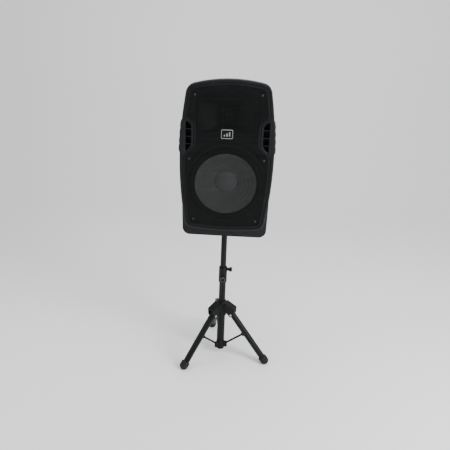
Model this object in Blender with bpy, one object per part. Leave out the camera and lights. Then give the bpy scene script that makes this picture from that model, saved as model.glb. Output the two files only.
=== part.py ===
"""Two-way PA loudspeaker on its folding tripod stand.

Metres, +Z up. The grille faces -Y. The whole stands on Z = 0 with the middle of its box over the origin.
Everything is first laid out around the stand's pole, which is the Z axis of the empty "assembly".
"""
import math

import bmesh
import bpy
from mathutils import Matrix, Vector

# ---------------------------------------------------------------- clearances
GAP = 0.0003               # between pieces that rest on or against each other
SLIDING = 0.0003           # radial clearance of a tube or shaft that slides or turns
CUTTER_SPARE = 0.02        # how far a cutter runs on past what it cuts
WALL = 0.004               # moulded cabinet wall
ROUND = 20                 # facets of the stand's round pieces
ROUND_LARGE = 24           # facets of the woofer's round pieces
ROUND_KNOB = 16            # facets of the panel knobs
ROUND_SMALL = 12           # facets of shanks, screws and knobs' shafts

# ---------------------------------------------------------------- cabinet, seen across its depth
BEZEL_FRONT = -0.170       # front face of the bezel's rim
STEP_DEPTH = 0.040         # from the rim back to where the bezel steps in to the body
STEP_RUN = 0.012           # depth taken by that step
BAFFLE_DEPTH = 0.015       # from the rim back to the baffle
PARTING = -0.045           # plane where front and rear shells meet
BODY_MIDDLE = 0.060        # plane where the body starts to narrow
BODY_BACK = 0.175          # rear face
BODY_HALF_WIDTH = 0.2030
EDGE_RADIUS = 0.005        # rounding of the bezel's outer edge
BACK_RADIUS = 0.012        # rounding of the rear edge
RIM_WIDTH = 0.0125         # bezel rim, from the outside to the grille's recess
GROOVE = 0.0015            # shadow gap between rim and grille
GRILLE_INSET = RIM_WIDTH + GROOVE

# ---------------------------------------------------------------- handle notches in rim and grille
NOTCH_BOTTOM = 1.150
NOTCH_FLAT_BOTTOM = 1.215
NOTCH_FLAT_TOP = 1.290
NOTCH_TOP = 1.355
NOTCH_WAIST = 0.146        # half-width of the grille between the notches
NOTCH_DEPTH = 0.0475       # how far the notch cuts in from the grille's edge

# ---------------------------------------------------------------- grille, badge and screws
GRILLE_PROUD = 0.0005
GRILLE_SHEET = 0.0012
GRILLE_FOLD = 0.002        # radius of the folded edge
SCREW_PLACES = ((0.1437, 1.428), (0.1664, 1.147), (0.1437, 0.859))
SCREW_HEAD_RADIUS = 0.0045
SCREW_HEAD_HEIGHT = 0.0024
SCREW_SHANK_RADIUS = 0.0019
SCREW_LENGTH = 0.022
BADGE_WIDTH = 0.0516
BADGE_HEIGHT = 0.0398
BADGE_THICK = 0.0022
BADGE_CORNER = 0.004
BADGE_Z = 1.261

# ---------------------------------------------------------------- side handles
HANDLE_LIP = 0.0055        # bezel left between the notch and the handle insert
HANDLE_BOTTOM = 1.178
HANDLE_TOP = 1.317
HANDLE_DEPTH = 0.042
HANDLE_WALL = 0.004
HANDLE_PROUD = 0.0035      # grip stands out from the bezel's side
HANDLE_SWELL_EDGE = 0.0002  # half the height of the step from a rib to a finger swell
GRIP_WIDTH = 0.021
GRIP_BULGE = 0.0022
RIB_THICK = 0.0025
FINGER_SLOTS = 4

# ---------------------------------------------------------------- woofer, 15 inch class
WOOFER_Z = 1.030
WOOFER_FLANGE_RADIUS = 0.188
WOOFER_FLANGE_THICK = 0.005
WOOFER_HOLE_RADIUS = 0.172
WOOFER_DEPTH = 0.087
SURROUND_INNER = 0.1406
SURROUND_HEIGHT = 0.008
CONE_NECK_DEPTH = 0.0550
CONE_PAPER = 0.0012
DUST_CAP_RADIUS = 0.050
DUST_CAP_HEIGHT = 0.015
COIL_RADIUS = 0.0275
COIL_WALL = 0.0022
COIL_LENGTH = 0.049
MAGNET_RADIUS = 0.078
MAGNET_THICK = 0.042
SPIDER_DEPTH = 0.064
SPIDER_THICK = 0.001
CONE_TO_PLATE = 0.014      # voice coil above the magnet's gap
COIL_CLEARANCE = 0.0010
LIP_HEIGHT = 0.0018        # cone's and surround's edge above the baffle
SURROUND_LAND = 0.003      # flat glued edge of the surround
BASKET_CLEARANCE = 0.0004
BASKET_SHEET = 0.0010
BASKET_PLATE = 0.004
BASKET_SHOULDER = 0.004
BASKET_NECK_CLEARANCE = 0.0025

# ---------------------------------------------------------------- horn and compression driver
HORN_Z = 1.335
HORN_MOUTH_HALF_WIDTH = 0.120
HORN_MOUTH_HALF_HEIGHT = 0.068
HORN_WALL = 0.003
HORN_CLEARANCE = 0.001     # between the horn's mouth and the baffle's opening
HORN_CORNER = 0.020
HORN_FLANGE = 0.014
HORN_DEPTH = 0.082
HORN_THROAT_RADIUS = 0.0130
DRIVER_RADIUS = 0.043
DRIVER_LENGTH = 0.048
DRIVER_NECK_RADIUS = 0.024
DRIVER_NECK_LENGTH = 0.005

# ---------------------------------------------------------------- pole socket and stand tubes
BASE_Z = 0.757             # underside of the cabinet
SOCKET_DEPTH = 0.0898      # from the cabinet's underside to the socket's end
SOCKET_WALL = 0.005
SOCKET_CLEARANCE = 0.0005  # between the socket and the hole in the cabinet
SOCKET_FLANGE_RADIUS = 0.045
SOCKET_FLANGE_THICK = 0.003
POLE_SLEEVE_RADIUS = 0.0176
POLE_SLEEVE_TOP = 0.003
UPPER_TUBE_RADIUS = 0.0150
BASE_TUBE_RADIUS = 0.0175
TUBE_WALL = 0.0015
UPPER_TUBE_BOTTOM = 0.200
BASE_TUBE_TOP = 0.500
COLUMN_SLEEVE_RADIUS = BASE_TUBE_RADIUS + 0.003

# ---------------------------------------------------------------- pole clamp and safety pin
CLAMP_BOTTOM = 0.4455
CLAMP_TOP = 0.534
CLAMP_RADIUS = BASE_TUBE_RADIUS + 0.004
CLAMP_CHAMFER = 0.0015
CLAMP_KNOB_Z = 0.5195
CLAMP_KNOB_RADIUS = 0.0125
CLAMP_KNOB_LENGTH = 0.016
BOSS_RADIUS = 0.0085
BOSS_LENGTH = 0.009
BOSS_ROOT = 0.003          # how deep a boss is rooted in its body
KNOB_SHANK_RADIUS = 0.0030
PIN_Z = 0.482
PIN_RADIUS = 0.0030
PIN_STAND_OFF = 0.0085     # head's gap from the clamp
PIN_HEAD_LENGTH = 0.004
PIN_RING_RADIUS = 0.0115
PIN_WIRE_RADIUS = 0.0014

# ---------------------------------------------------------------- tripod
LEG_AZIMUTHS = (103.8, 223.8, 343.8)
LEG_ANGLE = 38.3           # open leg, from the vertical
LEG_RADIUS = 0.0165
LEG_PIVOT_RADIUS = BASE_TUBE_RADIUS + 0.0422  # leg pivot, from the pole's axis
LEG_PIVOT_Z = 0.265
LEG_HEAD = 0.015           # leg tube above its pivot
LEG_SIDE_CLEARANCE = 0.0007
LEG_IN_FOOT = 0.004        # leg tube past the middle of the foot's round end
FOOT_RADIUS = LEG_RADIUS + 0.006
FOOT_LENGTH = 0.045
FOOT_CHAMFER = 0.0025
SOLE_DEPTH = 0.0015        # how far the round foot is worn flat
BRACKET_ALONG = 0.1288     # brace pivot on the leg, along it from the leg pivot
BRACKET_OFFSET = LEG_RADIUS + 0.006  # and square to it, towards the column
BRACKET_HALF_LENGTH = 0.014
BRACE_HALF_HEIGHT = 0.0050
BRACE_THICK = 0.0044
BRACE_FOOT_RADIUS = BASE_TUBE_RADIUS + 0.0137  # brace pivot on the bottom collar, from the pole's axis
BRACE_FOOT_Z = 0.070
LUG_THICK = 0.0025
LUG_CLEARANCE = 0.0005
LUG_BELOW_PIVOT = 0.024
LUG_ABOVE_PIVOT = 0.0095
LUG_PAST_PIVOT = 0.0062
COLLAR_BOTTOM = 0.032
COLLAR_TOP = 0.083
COLLAR_RADIUS = BASE_TUBE_RADIUS + 0.004
COLLAR_FLOOR = 0.0035
COLLAR_CHAMFER = 0.002
HUB_BOTTOM = 0.248
HUB_TOP = 0.333
HUB_CORE_RADIUS = BASE_TUBE_RADIUS + 0.0087
HUB_CHAMFER = 0.003
HUB_ROOT = 0.0047          # how deep an arm is rooted in the hub's core
HUB_BELOW_PIVOT = 0.0125
HUB_ARM_REACH = LEG_PIVOT_RADIUS + 0.0183
HUB_ARM_TOP = 0.302        # outer end of the arm's sloping top
HUB_CHEEK = 0.0048
HUB_COVER = 0.005
PIVOT_BOLT_RADIUS = 0.0037
PIVOT_HEAD_RADIUS = 0.0068
PIVOT_HEAD = 0.003
HUB_KNOB_AZIMUTH = 43.8
HUB_KNOB_Z = 0.293
HUB_KNOB_RADIUS = 0.0140
HUB_KNOB_LENGTH = 0.018

# ---------------------------------------------------------------- rear panel
PANEL_Z = 1.080
PANEL_WIDTH = 0.190
PANEL_HEIGHT = 0.300
PANEL_THICK = 0.0025
PANEL_LIP = 0.010
PANEL_CLEARANCE = 0.0006   # round each unit in its hole
UNIT_PROUD = 0.0015        # how far a built-in unit stands out from the panel
KNOB_ROW_Z = 1.112
KNOB_PITCH = 0.040
KNOB_RADIUS = 0.0090
KNOB_LENGTH = 0.014
KNOB_LIFT = 0.0005         # knob's underside above the panel
KNOB_SHAFT_LENGTH = 0.012
KNOB_SHAFT_RADIUS = 0.0030
BUTTON_ROW_Z = 1.150
BUTTON_PITCH = 0.022
BUTTON_RADIUS = 0.0040
BUTTON_PROUD = 0.0022
BUTTON_STEM = 0.006
PLAYER_Z = 1.187
PLAYER_WIDTH = 0.086
PLAYER_HEIGHT = 0.042
PLAYER_DEPTH = 0.016
USB_X = 0.0265             # slot's middle, from the player's middle
USB_WIDTH = 0.013
USB_HEIGHT = 0.006
JACK_ROW_Z = 1.058
JACK_X = 0.045
JACK_DEPTH = 0.016
MIC_JACK_RADIUS = 0.0125
MIC_JACK_BORE = 0.0090
LINE_JACK_RADIUS = 0.0075
LINE_JACK_BORE = 0.0034
ROCKER_WIDTH = 0.0140
ROCKER_HALF_HEIGHT = 0.0100
ROCKER_DEPTH = 0.0045
ROCKER_HIGH = 0.0035       # raised half, above the panel
ROCKER_LOW = 0.0012
ROCKER_TILT_ROOM = 0.001
INLET_Z = 0.985
INLET_WIDTH = 0.048
INLET_HEIGHT = 0.028
INLET_DEPTH = 0.020
RECESS_WIDTH = 0.025
RECESS_HEIGHT = 0.016
BOARD_Y = 0.150
BOARD_WIDTH = 0.160
BOARD_HEIGHT = 0.260
BOARD_THICK = 0.0016
TRANSFORMER_WIDTH = 0.090
TRANSFORMER_LENGTH = 0.060
TRANSFORMER_HEIGHT = 0.070
TRANSFORMER_FRONT = 0.065

# ---------------------------------------------------------------- values that follow
BAFFLE_FRONT = BEZEL_FRONT + BAFFLE_DEPTH
BAFFLE_BACK = BAFFLE_FRONT + WALL
STEP_FRONT = BEZEL_FRONT + STEP_DEPTH
STEP_BACK = STEP_FRONT + STEP_RUN
SOCKET_END = BASE_Z + SOCKET_DEPTH
SLEEVE_TOP = SOCKET_END - GAP
UPPER_TUBE_TOP = SLEEVE_TOP - POLE_SLEEVE_TOP - GAP
PANEL_FACE = BODY_BACK + GAP + PANEL_THICK


# ================================================================ scene, materials and mesh helpers
for old in list(bpy.data.objects):
    bpy.data.objects.remove(old, do_unlink=True)


def material(name, colour, roughness, metallic=0.0):
    """One Principled finish."""
    finish = bpy.data.materials.new(name)
    finish.use_nodes = True
    shader = finish.node_tree.nodes["Principled BSDF"]
    shader.inputs["Base Color"].default_value = (*colour, 1.0)
    shader.inputs["Roughness"].default_value = roughness
    shader.inputs["Metallic"].default_value = metallic
    finish.diffuse_color = (*colour, 1.0)
    return finish


CABINET = material("cabinet_plastic", (0.012, 0.014, 0.015), 0.55)
GRILLE_PAINT = material("grille_steel", (0.010, 0.011, 0.012), 0.45, 0.3)
HANDLE_PLASTIC = material("handle_plastic", (0.018, 0.020, 0.022), 0.45)
BRIGHT_STEEL = material("bright_steel", (0.62, 0.60, 0.55), 0.30, 1.0)
BADGE_METAL = material("badge_aluminium", (0.50, 0.50, 0.48), 0.35, 1.0)
BASKET_ALLOY = material("basket_alloy", (0.05, 0.05, 0.05), 0.45, 0.4)
FERRITE = material("ferrite", (0.03, 0.03, 0.032), 0.60, 0.2)
CONE_PAPER_FINISH = material("cone_paper", (0.075, 0.078, 0.080), 0.80)
SURROUND_FOAM = material("surround_rubber", (0.012, 0.012, 0.012), 0.85)
HORN_PLASTIC = material("horn_plastic", (0.015, 0.015, 0.016), 0.40)
PANEL_PAINT = material("panel_steel", (0.016, 0.016, 0.017), 0.40, 0.3)
CONTROL_PLASTIC = material("control_plastic", (0.02, 0.02, 0.02), 0.40)
BOARD_FINISH = material("board_laminate", (0.02, 0.12, 0.05), 0.50)
WINDING = material("transformer_core", (0.30, 0.17, 0.06), 0.50, 0.5)
TUBE_PAINT = material("tube_steel", (0.015, 0.018, 0.020), 0.35, 0.3)
STAND_PLASTIC = material("stand_plastic", (0.014, 0.015, 0.016), 0.50)
FOOT_RUBBER = material("foot_rubber", (0.040, 0.040, 0.036), 0.80)


def frame(name, location, turn=None, parent=None):
    """An empty that holds the place and direction of a joint or a group."""
    holder = bpy.data.objects.new(name, None)
    bpy.context.collection.objects.link(holder)
    holder.parent = parent
    holder.matrix_local = Matrix.Translation(location) @ (turn or Matrix.Identity(4))
    return holder


def turn_about(axis, degrees):
    """Rotation matrix about one of the local axes."""
    return Matrix.Rotation(math.radians(degrees), 4, axis)


def mesh_object(name, shape, finish, parent, cutter=False):
    """Links a bmesh as an object; a cutter only shapes others."""
    bmesh.ops.recalc_face_normals(shape, faces=shape.faces)
    mesh = bpy.data.meshes.new(name)
    shape.to_mesh(mesh)
    shape.free()
    piece = bpy.data.objects.new(name, mesh)
    bpy.context.collection.objects.link(piece)
    piece.parent = parent
    if cutter:
        piece.hide_render = True
        piece.display_type = "WIRE"
    else:
        mesh.materials.append(finish)
        mesh.shade_smooth()
        mesh.set_sharp_from_angle(angle=math.radians(35))
    return piece


def close_ends(shape, first, last):
    """Caps two flat outlines, which may be notched."""
    caps = [shape.faces.new(first), shape.faces.new(last)]
    for cap in caps:
        cap.normal_update()
    bmesh.ops.triangulate(shape, faces=caps, ngon_method="EAR_CLIP")


def lofted(name, rings, finish, parent, closed=False, cutter=False):
    """Solid through rings of equal count; capped at its ends unless the rings close on themselves."""
    shape = bmesh.new()
    loops = [[shape.verts.new(point) for point in ring] for ring in rings]
    count = len(loops[0])
    pairs = list(zip(loops, loops[1:]))
    if closed:
        pairs.append((loops[-1], loops[0]))
    for lower, upper in pairs:
        for i in range(count):
            j = (i + 1) % count
            shape.faces.new((lower[i], lower[j], upper[j], upper[i]))
    if not closed:
        close_ends(shape, loops[0], loops[-1])
    return mesh_object(name, shape, finish, parent, cutter)


def turned(name, profile, finish, parent, facets=ROUND, cutter=False):
    """Solid of revolution about local Z. A profile of (radius, height) points; radius 0 lies on the axis."""
    shape = bmesh.new()
    rings = []
    for radius, height in profile:
        if radius == 0.0:
            rings.append([shape.verts.new((0.0, 0.0, height))])
            continue
        ring = []
        for k in range(facets):
            angle = math.tau * k / facets
            ring.append(shape.verts.new((radius * math.cos(angle), radius * math.sin(angle), height)))
        rings.append(ring)
    on_axis = profile[0][0] == 0.0
    pairs = list(zip(rings, rings[1:]))
    if not on_axis:
        pairs.append((rings[-1], rings[0]))
    for lower, upper in pairs:
        for k in range(facets):
            m = (k + 1) % facets
            if len(lower) == 1 and len(upper) == 1:
                break
            if len(lower) == 1:
                shape.faces.new((lower[0], upper[m], upper[k]))
            elif len(upper) == 1:
                shape.faces.new((lower[k], lower[m], upper[0]))
            else:
                shape.faces.new((lower[k], lower[m], upper[m], upper[k]))
    return mesh_object(name, shape, finish, parent, cutter)


def block(name, low, high, finish, parent, cutter=False):
    """Box between two corners."""
    ring = [(low[0], low[1]), (high[0], low[1]), (high[0], high[1]), (low[0], high[1])]
    rings = [[Vector((x, y, z)) for x, y in ring] for z in (low[2], high[2])]
    return lofted(name, rings, finish, parent, cutter=cutter)


def prism(name, outline, low, high, finish, parent, across="Y", cutter=False):
    """Outline of two coordinates, extruded along the third axis."""
    places = {"X": lambda a, b, c: (c, a, b), "Y": lambda a, b, c: (a, c, b), "Z": lambda a, b, c: (a, b, c)}
    place = places[across]
    rings = [[Vector(place(a, b, c)) for a, b in outline] for c in (low, high)]
    return lofted(name, rings, finish, parent, cutter=cutter)


def bar_cutter(name, radius, low, high, parent, facets=ROUND):
    """Round bar along local Z that cuts a hole or adds a boss."""
    profile = [(0.0, low), (radius, low), (radius, high), (0.0, high)]
    return turned(name, profile, None, parent, facets, cutter=True)


def boolean(target, tool, operation, solver):
    """Cuts or joins one solid with another."""
    step = target.modifiers.new(tool.name, "BOOLEAN")
    step.operation = operation
    step.object = tool
    step.solver = solver


def cut(target, *tools, solver="EXACT"):
    for tool in tools:
        boolean(target, tool, "DIFFERENCE", solver)


def join(target, *tools):
    for tool in tools:
        boolean(target, tool, "UNION", "EXACT")


def bore_radius(shaft, clearance=SLIDING, facets=ROUND):
    """Radius of a faceted bore whose flats clear a shaft of the given radius."""
    return (shaft + clearance) / math.cos(math.pi / facets)


def arc(centre, radius, start, end, steps):
    """Points of an arc in degrees, both ends included."""
    points = []
    for k in range(steps + 1):
        angle = math.radians(start + (end - start) * k / steps)
        points.append((centre[0] + radius * math.cos(angle), centre[1] + radius * math.sin(angle)))
    return points


def rounded_rectangle(half_width, half_height, corner, steps=4, centre=(0.0, 0.0)):
    """Closed outline with round corners."""
    x = half_width - corner
    y = half_height - corner
    points = []
    for sx, sy, start in ((1, 1, 0), (-1, 1, 90), (-1, -1, 180), (1, -1, 270)):
        points += arc((centre[0] + sx * x, centre[1] + sy * y), corner, start, start + 90, steps)
    return points


# ================================================================ cabinet outline
class Section:
    """Cabinet outline at one depth: side, top and bottom arcs joined by round corners."""

    def __init__(self, half_width, widest, top, bottom, side, top_arc, bottom_arc, corners):
        self.side = (Vector((half_width - side, widest)), side)
        self.top = (Vector((0.0, top - top_arc)), top_arc)
        self.bottom = (Vector((0.0, bottom + bottom_arc)), bottom_arc)
        self.corners = corners


def meeting_point(first, second, corner, upward):
    """Centre of the corner arc that touches two outline arcs from inside."""
    (a, ra), (b, rb) = first, second
    ra -= corner
    rb -= corner
    span = b - a
    distance = span.length
    along = (ra * ra - rb * rb + distance * distance) / (2.0 * distance)
    across = math.sqrt(ra * ra - along * along)
    middle = a + span * (along / distance)
    square = Vector((-span.y, span.x)) / distance * across
    choices = sorted((middle + square, middle - square), key=lambda p: p.y)
    return choices[1] if upward else choices[0]


def direction(start, end):
    """Angle in degrees from one point to another."""
    return math.degrees(math.atan2(end.y - start.y, end.x - start.x))


def notch_edge(z, inset):
    """Half-width of the notched outline at height z."""
    if z <= NOTCH_FLAT_BOTTOM:
        t = (z - NOTCH_BOTTOM) / (NOTCH_FLAT_BOTTOM - NOTCH_BOTTOM)
    elif z >= NOTCH_FLAT_TOP:
        t = (NOTCH_TOP - z) / (NOTCH_TOP - NOTCH_FLAT_TOP)
    else:
        t = 1.0
    t = max(0.0, min(1.0, t))
    smooth = t * t * (3.0 - 2.0 * t)
    return NOTCH_WAIST + NOTCH_DEPTH * (1.0 - smooth) + GRILLE_INSET - inset


def side_width(section, inset, z):
    """Half-width of the side arc at height z."""
    centre, radius = section.side
    return centre.x + math.sqrt((radius - inset) ** 2 - (z - centre.y) ** 2)


def side_levels(low, high, notch_steps):
    """Heights along the side, closer together through the handle notch."""
    stops = ((low, NOTCH_BOTTOM, 3), (NOTCH_BOTTOM, NOTCH_FLAT_BOTTOM, notch_steps),
             (NOTCH_FLAT_BOTTOM, NOTCH_FLAT_TOP, 1), (NOTCH_FLAT_TOP, NOTCH_TOP, notch_steps),
             (NOTCH_TOP, high, 2))
    levels = []
    for start, end, steps in stops:
        levels += [start + (end - start) * k / steps for k in range(steps)]
    return levels[1:]


def outline(section, inset=0.0, notched=False, notch_steps=4):
    """Closed outline (x, z), from the bottom middle round by +X; inset runs parallel inside."""
    top_corner, bottom_corner = section.corners
    low = meeting_point(section.side, section.bottom, bottom_corner, upward=False)
    high = meeting_point(section.side, section.top, top_corner, upward=True)
    bottom_end = direction(section.bottom[0], low)
    low_end = direction(section.side[0], low)
    high_start = direction(section.side[0], high)
    top_start = direction(section.top[0], high)
    points = arc(section.bottom[0], section.bottom[1] - inset, -90.0, bottom_end, 3)[1:-1]
    points += arc(low, bottom_corner - inset, bottom_end, low_end, 4)
    end = arc(high, top_corner - inset, high_start, top_start, 4)
    for z in side_levels(points[-1][1], end[0][1], notch_steps):
        x = side_width(section, inset, z)
        if notched and NOTCH_BOTTOM < z < NOTCH_TOP:
            x = min(x, notch_edge(z, inset))
        points.append((x, z))
    points += end
    points += arc(section.top[0], section.top[1] - inset, top_start, 90.0, 4)[1:-1]
    top_middle = (0.0, section.top[0].y + section.top[1] - inset)
    bottom_middle = (0.0, section.bottom[0].y - section.bottom[1] + inset)
    mirrored = [(-x, z) for x, z in reversed(points)]
    return [bottom_middle] + points + [top_middle] + mirrored


BEZEL = Section(0.2100, 1.137, 1.4930, 0.8043, 1.72, 0.637, 1.20, (0.045, 0.040))
BODY_FRONT = Section(BODY_HALF_WIDTH, 0.950, 1.4860, BASE_Z, 4.50, 0.637, 20.0, (0.050, 0.035))
BODY_JOINT = Section(BODY_HALF_WIDTH, 0.950, 1.4780, BASE_Z, 4.50, 0.637, 20.0, (0.050, 0.035))
BODY_WAIST = Section(0.1900, 0.950, 1.4600, BASE_Z, 4.50, 0.637, 20.0, (0.050, 0.035))
BODY_REAR = Section(0.1560, 0.950, 1.4320, BASE_Z, 4.50, 0.637, 20.0, (0.050, 0.035))


def ring(section, y, inset=0.0, notched=False, notch_steps=4):
    """Outline of a section placed at depth y."""
    return [Vector((x, y, z)) for x, z in outline(section, inset, notched, notch_steps)]


# ================================================================ assembly and cabinet shells
assembly = frame("assembly", (0.0, 0.0, 0.0))

front_rings = [
    ring(BODY_JOINT, PARTING - GAP / 2),
    ring(BODY_FRONT, STEP_BACK),
    ring(BEZEL, STEP_FRONT),
    ring(BEZEL, BEZEL_FRONT + EDGE_RADIUS),
    ring(BEZEL, BEZEL_FRONT + 0.3 * EDGE_RADIUS, 0.3 * EDGE_RADIUS),
    ring(BEZEL, BEZEL_FRONT, EDGE_RADIUS),
    ring(BEZEL, BEZEL_FRONT, RIM_WIDTH - 0.001, True),
    ring(BEZEL, BEZEL_FRONT + 0.001, RIM_WIDTH, True),
    ring(BEZEL, BAFFLE_FRONT, RIM_WIDTH, True),
]
inner_rings = [
    ring(BEZEL, BAFFLE_BACK, RIM_WIDTH + 2.5 * WALL),
    ring(BEZEL, STEP_FRONT + WALL, RIM_WIDTH + 2.5 * WALL),
    ring(BODY_FRONT, STEP_BACK + 1.5 * WALL, WALL),
    ring(BODY_JOINT, PARTING - GAP / 2, WALL),
]


def cup(name, outside, inside, finish, parent):
    """Thin-walled shell: outside rings run to the closed end, inside rings run back to the mouth."""
    shape = bmesh.new()
    loops = [[shape.verts.new(point) for point in points] for points in outside + inside]
    count = len(loops[0])
    closed_end = len(outside) - 1
    for k in range(len(loops)):
        if k == closed_end:
            continue
        lower, upper = loops[k], loops[(k + 1) % len(loops)]
        for i in range(count):
            j = (i + 1) % count
            shape.faces.new((lower[i], lower[j], upper[j], upper[i]))
    close_ends(shape, loops[closed_end], loops[closed_end + 1])
    return mesh_object(name, shape, finish, parent)


front_shell = cup("front_shell", front_rings, inner_rings, CABINET, assembly)

facing_front = turn_about("X", 90)       # local Z points to the front
facing_back = turn_about("X", -90)       # local Z points to the back
woofer_frame = frame("woofer_frame", (0.0, BAFFLE_FRONT, WOOFER_Z), facing_front, assembly)
horn_frame = frame("horn_frame", (0.0, BAFFLE_FRONT, HORN_Z), facing_front, assembly)

woofer_hole = bar_cutter("woofer_hole", WOOFER_HOLE_RADIUS, -CUTTER_SPARE, CUTTER_SPARE / 2,
                         woofer_frame, ROUND_LARGE)
horn_opening = rounded_rectangle(HORN_MOUTH_HALF_WIDTH + HORN_WALL + HORN_CLEARANCE,
                                 HORN_MOUTH_HALF_HEIGHT + HORN_WALL + HORN_CLEARANCE, HORN_CORNER)
horn_hole = prism("horn_hole", horn_opening, -CUTTER_SPARE, CUTTER_SPARE / 2, None, horn_frame, "Z",
                  cutter=True)
cut(front_shell, woofer_hole, horn_hole)

rear_outside = [
    ring(BODY_JOINT, PARTING + GAP / 2, notch_steps=1),
    ring(BODY_WAIST, BODY_MIDDLE, notch_steps=1),
    ring(BODY_REAR, BODY_BACK - BACK_RADIUS, notch_steps=1),
    ring(BODY_REAR, BODY_BACK - 0.3 * BACK_RADIUS, 0.3 * BACK_RADIUS, notch_steps=1),
    ring(BODY_REAR, BODY_BACK, BACK_RADIUS, notch_steps=1),
]
rear_inside = [
    ring(BODY_REAR, BODY_BACK - WALL, BACK_RADIUS, notch_steps=1),
    ring(BODY_REAR, BODY_BACK - BACK_RADIUS, 1.5 * WALL, notch_steps=1),
    ring(BODY_WAIST, BODY_MIDDLE, WALL, notch_steps=1),
    ring(BODY_JOINT, PARTING + GAP / 2, WALL, notch_steps=1),
]
rear_shell = cup("rear_shell", rear_outside, rear_inside, CABINET, assembly)
socket_outer = bore_radius(POLE_SLEEVE_RADIUS) + SOCKET_WALL
socket_hole = bar_cutter("socket_hole", socket_outer + SOCKET_CLEARANCE, BASE_Z - CUTTER_SPARE,
                         BASE_Z + CUTTER_SPARE, assembly)
hole_half_width = PANEL_WIDTH / 2 - PANEL_LIP
hole_half_height = PANEL_HEIGHT / 2 - PANEL_LIP
panel_hole = block("panel_hole",
                   (-hole_half_width, BODY_BACK - CUTTER_SPARE, PANEL_Z - hole_half_height),
                   (hole_half_width, BODY_BACK + CUTTER_SPARE, PANEL_Z + hole_half_height),
                   None, assembly, cutter=True)
cut(rear_shell, socket_hole, panel_hole)

# ================================================================ grille, screws and badge
grille_front = BEZEL_FRONT - GRILLE_PROUD
grille_back = grille_front + GRILLE_SHEET
grille = cup("grille", [
    ring(BEZEL, BAFFLE_FRONT - GAP, GRILLE_INSET, True),
    ring(BEZEL, grille_front + GRILLE_FOLD, GRILLE_INSET, True),
    ring(BEZEL, grille_front, GRILLE_INSET + GRILLE_FOLD, True),
], [
    ring(BEZEL, grille_back, GRILLE_INSET + GRILLE_FOLD, True),
    ring(BEZEL, grille_back + 0.4 * GRILLE_FOLD, GRILLE_INSET + GRILLE_SHEET, True),
    ring(BEZEL, BAFFLE_FRONT - GAP, GRILLE_INSET + GRILLE_SHEET, True),
], GRILLE_PAINT, assembly)

screw_number = 0
for screw_x, screw_z in SCREW_PLACES:
    for side in (-1, 1):
        screw_number += 1
        holder = frame(f"screw_frame_{screw_number}", (side * screw_x, grille_front - GAP, screw_z),
                       facing_front, assembly)
        screw_hole = bar_cutter(f"screw_hole_{screw_number}", SCREW_SHANK_RADIUS + GAP + SLIDING,
                                -SCREW_LENGTH - CUTTER_SPARE, CUTTER_SPARE, holder, ROUND_SMALL)
        cut(grille, screw_hole)
        cut(front_shell, screw_hole)
        turned(f"grille_screw_{screw_number}", [
            (0.0, -SCREW_LENGTH), (SCREW_SHANK_RADIUS, -SCREW_LENGTH + 0.002), (SCREW_SHANK_RADIUS, 0.0),
            (SCREW_HEAD_RADIUS, 0.0), (SCREW_HEAD_RADIUS, 0.3 * SCREW_HEAD_HEIGHT),
            (0.7 * SCREW_HEAD_RADIUS, 0.85 * SCREW_HEAD_HEIGHT), (0.0, SCREW_HEAD_HEIGHT)],
            BRIGHT_STEEL, holder, ROUND_SMALL)

badge_outline = rounded_rectangle(BADGE_WIDTH / 2, BADGE_HEIGHT / 2, BADGE_CORNER, centre=(0.0, BADGE_Z))
prism("badge", badge_outline, grille_front - GAP - BADGE_THICK, grille_front - GAP, BADGE_METAL, assembly)

# ================================================================ side handles
slot_height = (HANDLE_TOP - HANDLE_BOTTOM - 2 * HANDLE_WALL - (FINGER_SLOTS - 1) * RIB_THICK) / FINGER_SLOTS
slot_pitch = slot_height + RIB_THICK
first_slot = HANDLE_BOTTOM + HANDLE_WALL


def grip_edge(z):
    """How far the grip stands out at height z: the bezel's side, bulged between the ribs."""
    t = (z - first_slot) / slot_pitch
    between = t - math.floor(t)
    share = between * slot_pitch / slot_height
    inside = 0.0 <= t < FINGER_SLOTS and share < 1.0
    bulge = GRIP_BULGE * math.sin(math.pi * share) if inside else 0.35 * GRIP_BULGE
    return side_width(BEZEL, 0.0, z) + HANDLE_PROUD + bulge


def recess_edge(z):
    """Inner edge of the handle recess at height z: it runs beside the notch."""
    return notch_edge(z, RIM_WIDTH) + HANDLE_LIP


def handle_levels(low, high):
    """Heights of the handle's cross-sections: its ends, and each finger swell between two ribs."""
    levels = [low]
    for k in range(FINGER_SLOTS):
        start = first_slot + k * slot_pitch
        end = start + slot_height
        levels += [start - HANDLE_SWELL_EDGE, start + HANDLE_SWELL_EDGE]
        levels += [start + slot_height * share for share in (0.2, 0.5, 0.8)]
        levels += [end - HANDLE_SWELL_EDGE, end + HANDLE_SWELL_EDGE]
    return levels + [high]


def recess_outline(side, low, high, levels, inset, outer):
    """Outline (x, z) between the recess's inner edge and a plain outer edge."""
    edge = [(side * (recess_edge(z) + inset), z) for z in levels]
    return [(side * outer, low)] + edge + [(side * outer, high)]


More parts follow.
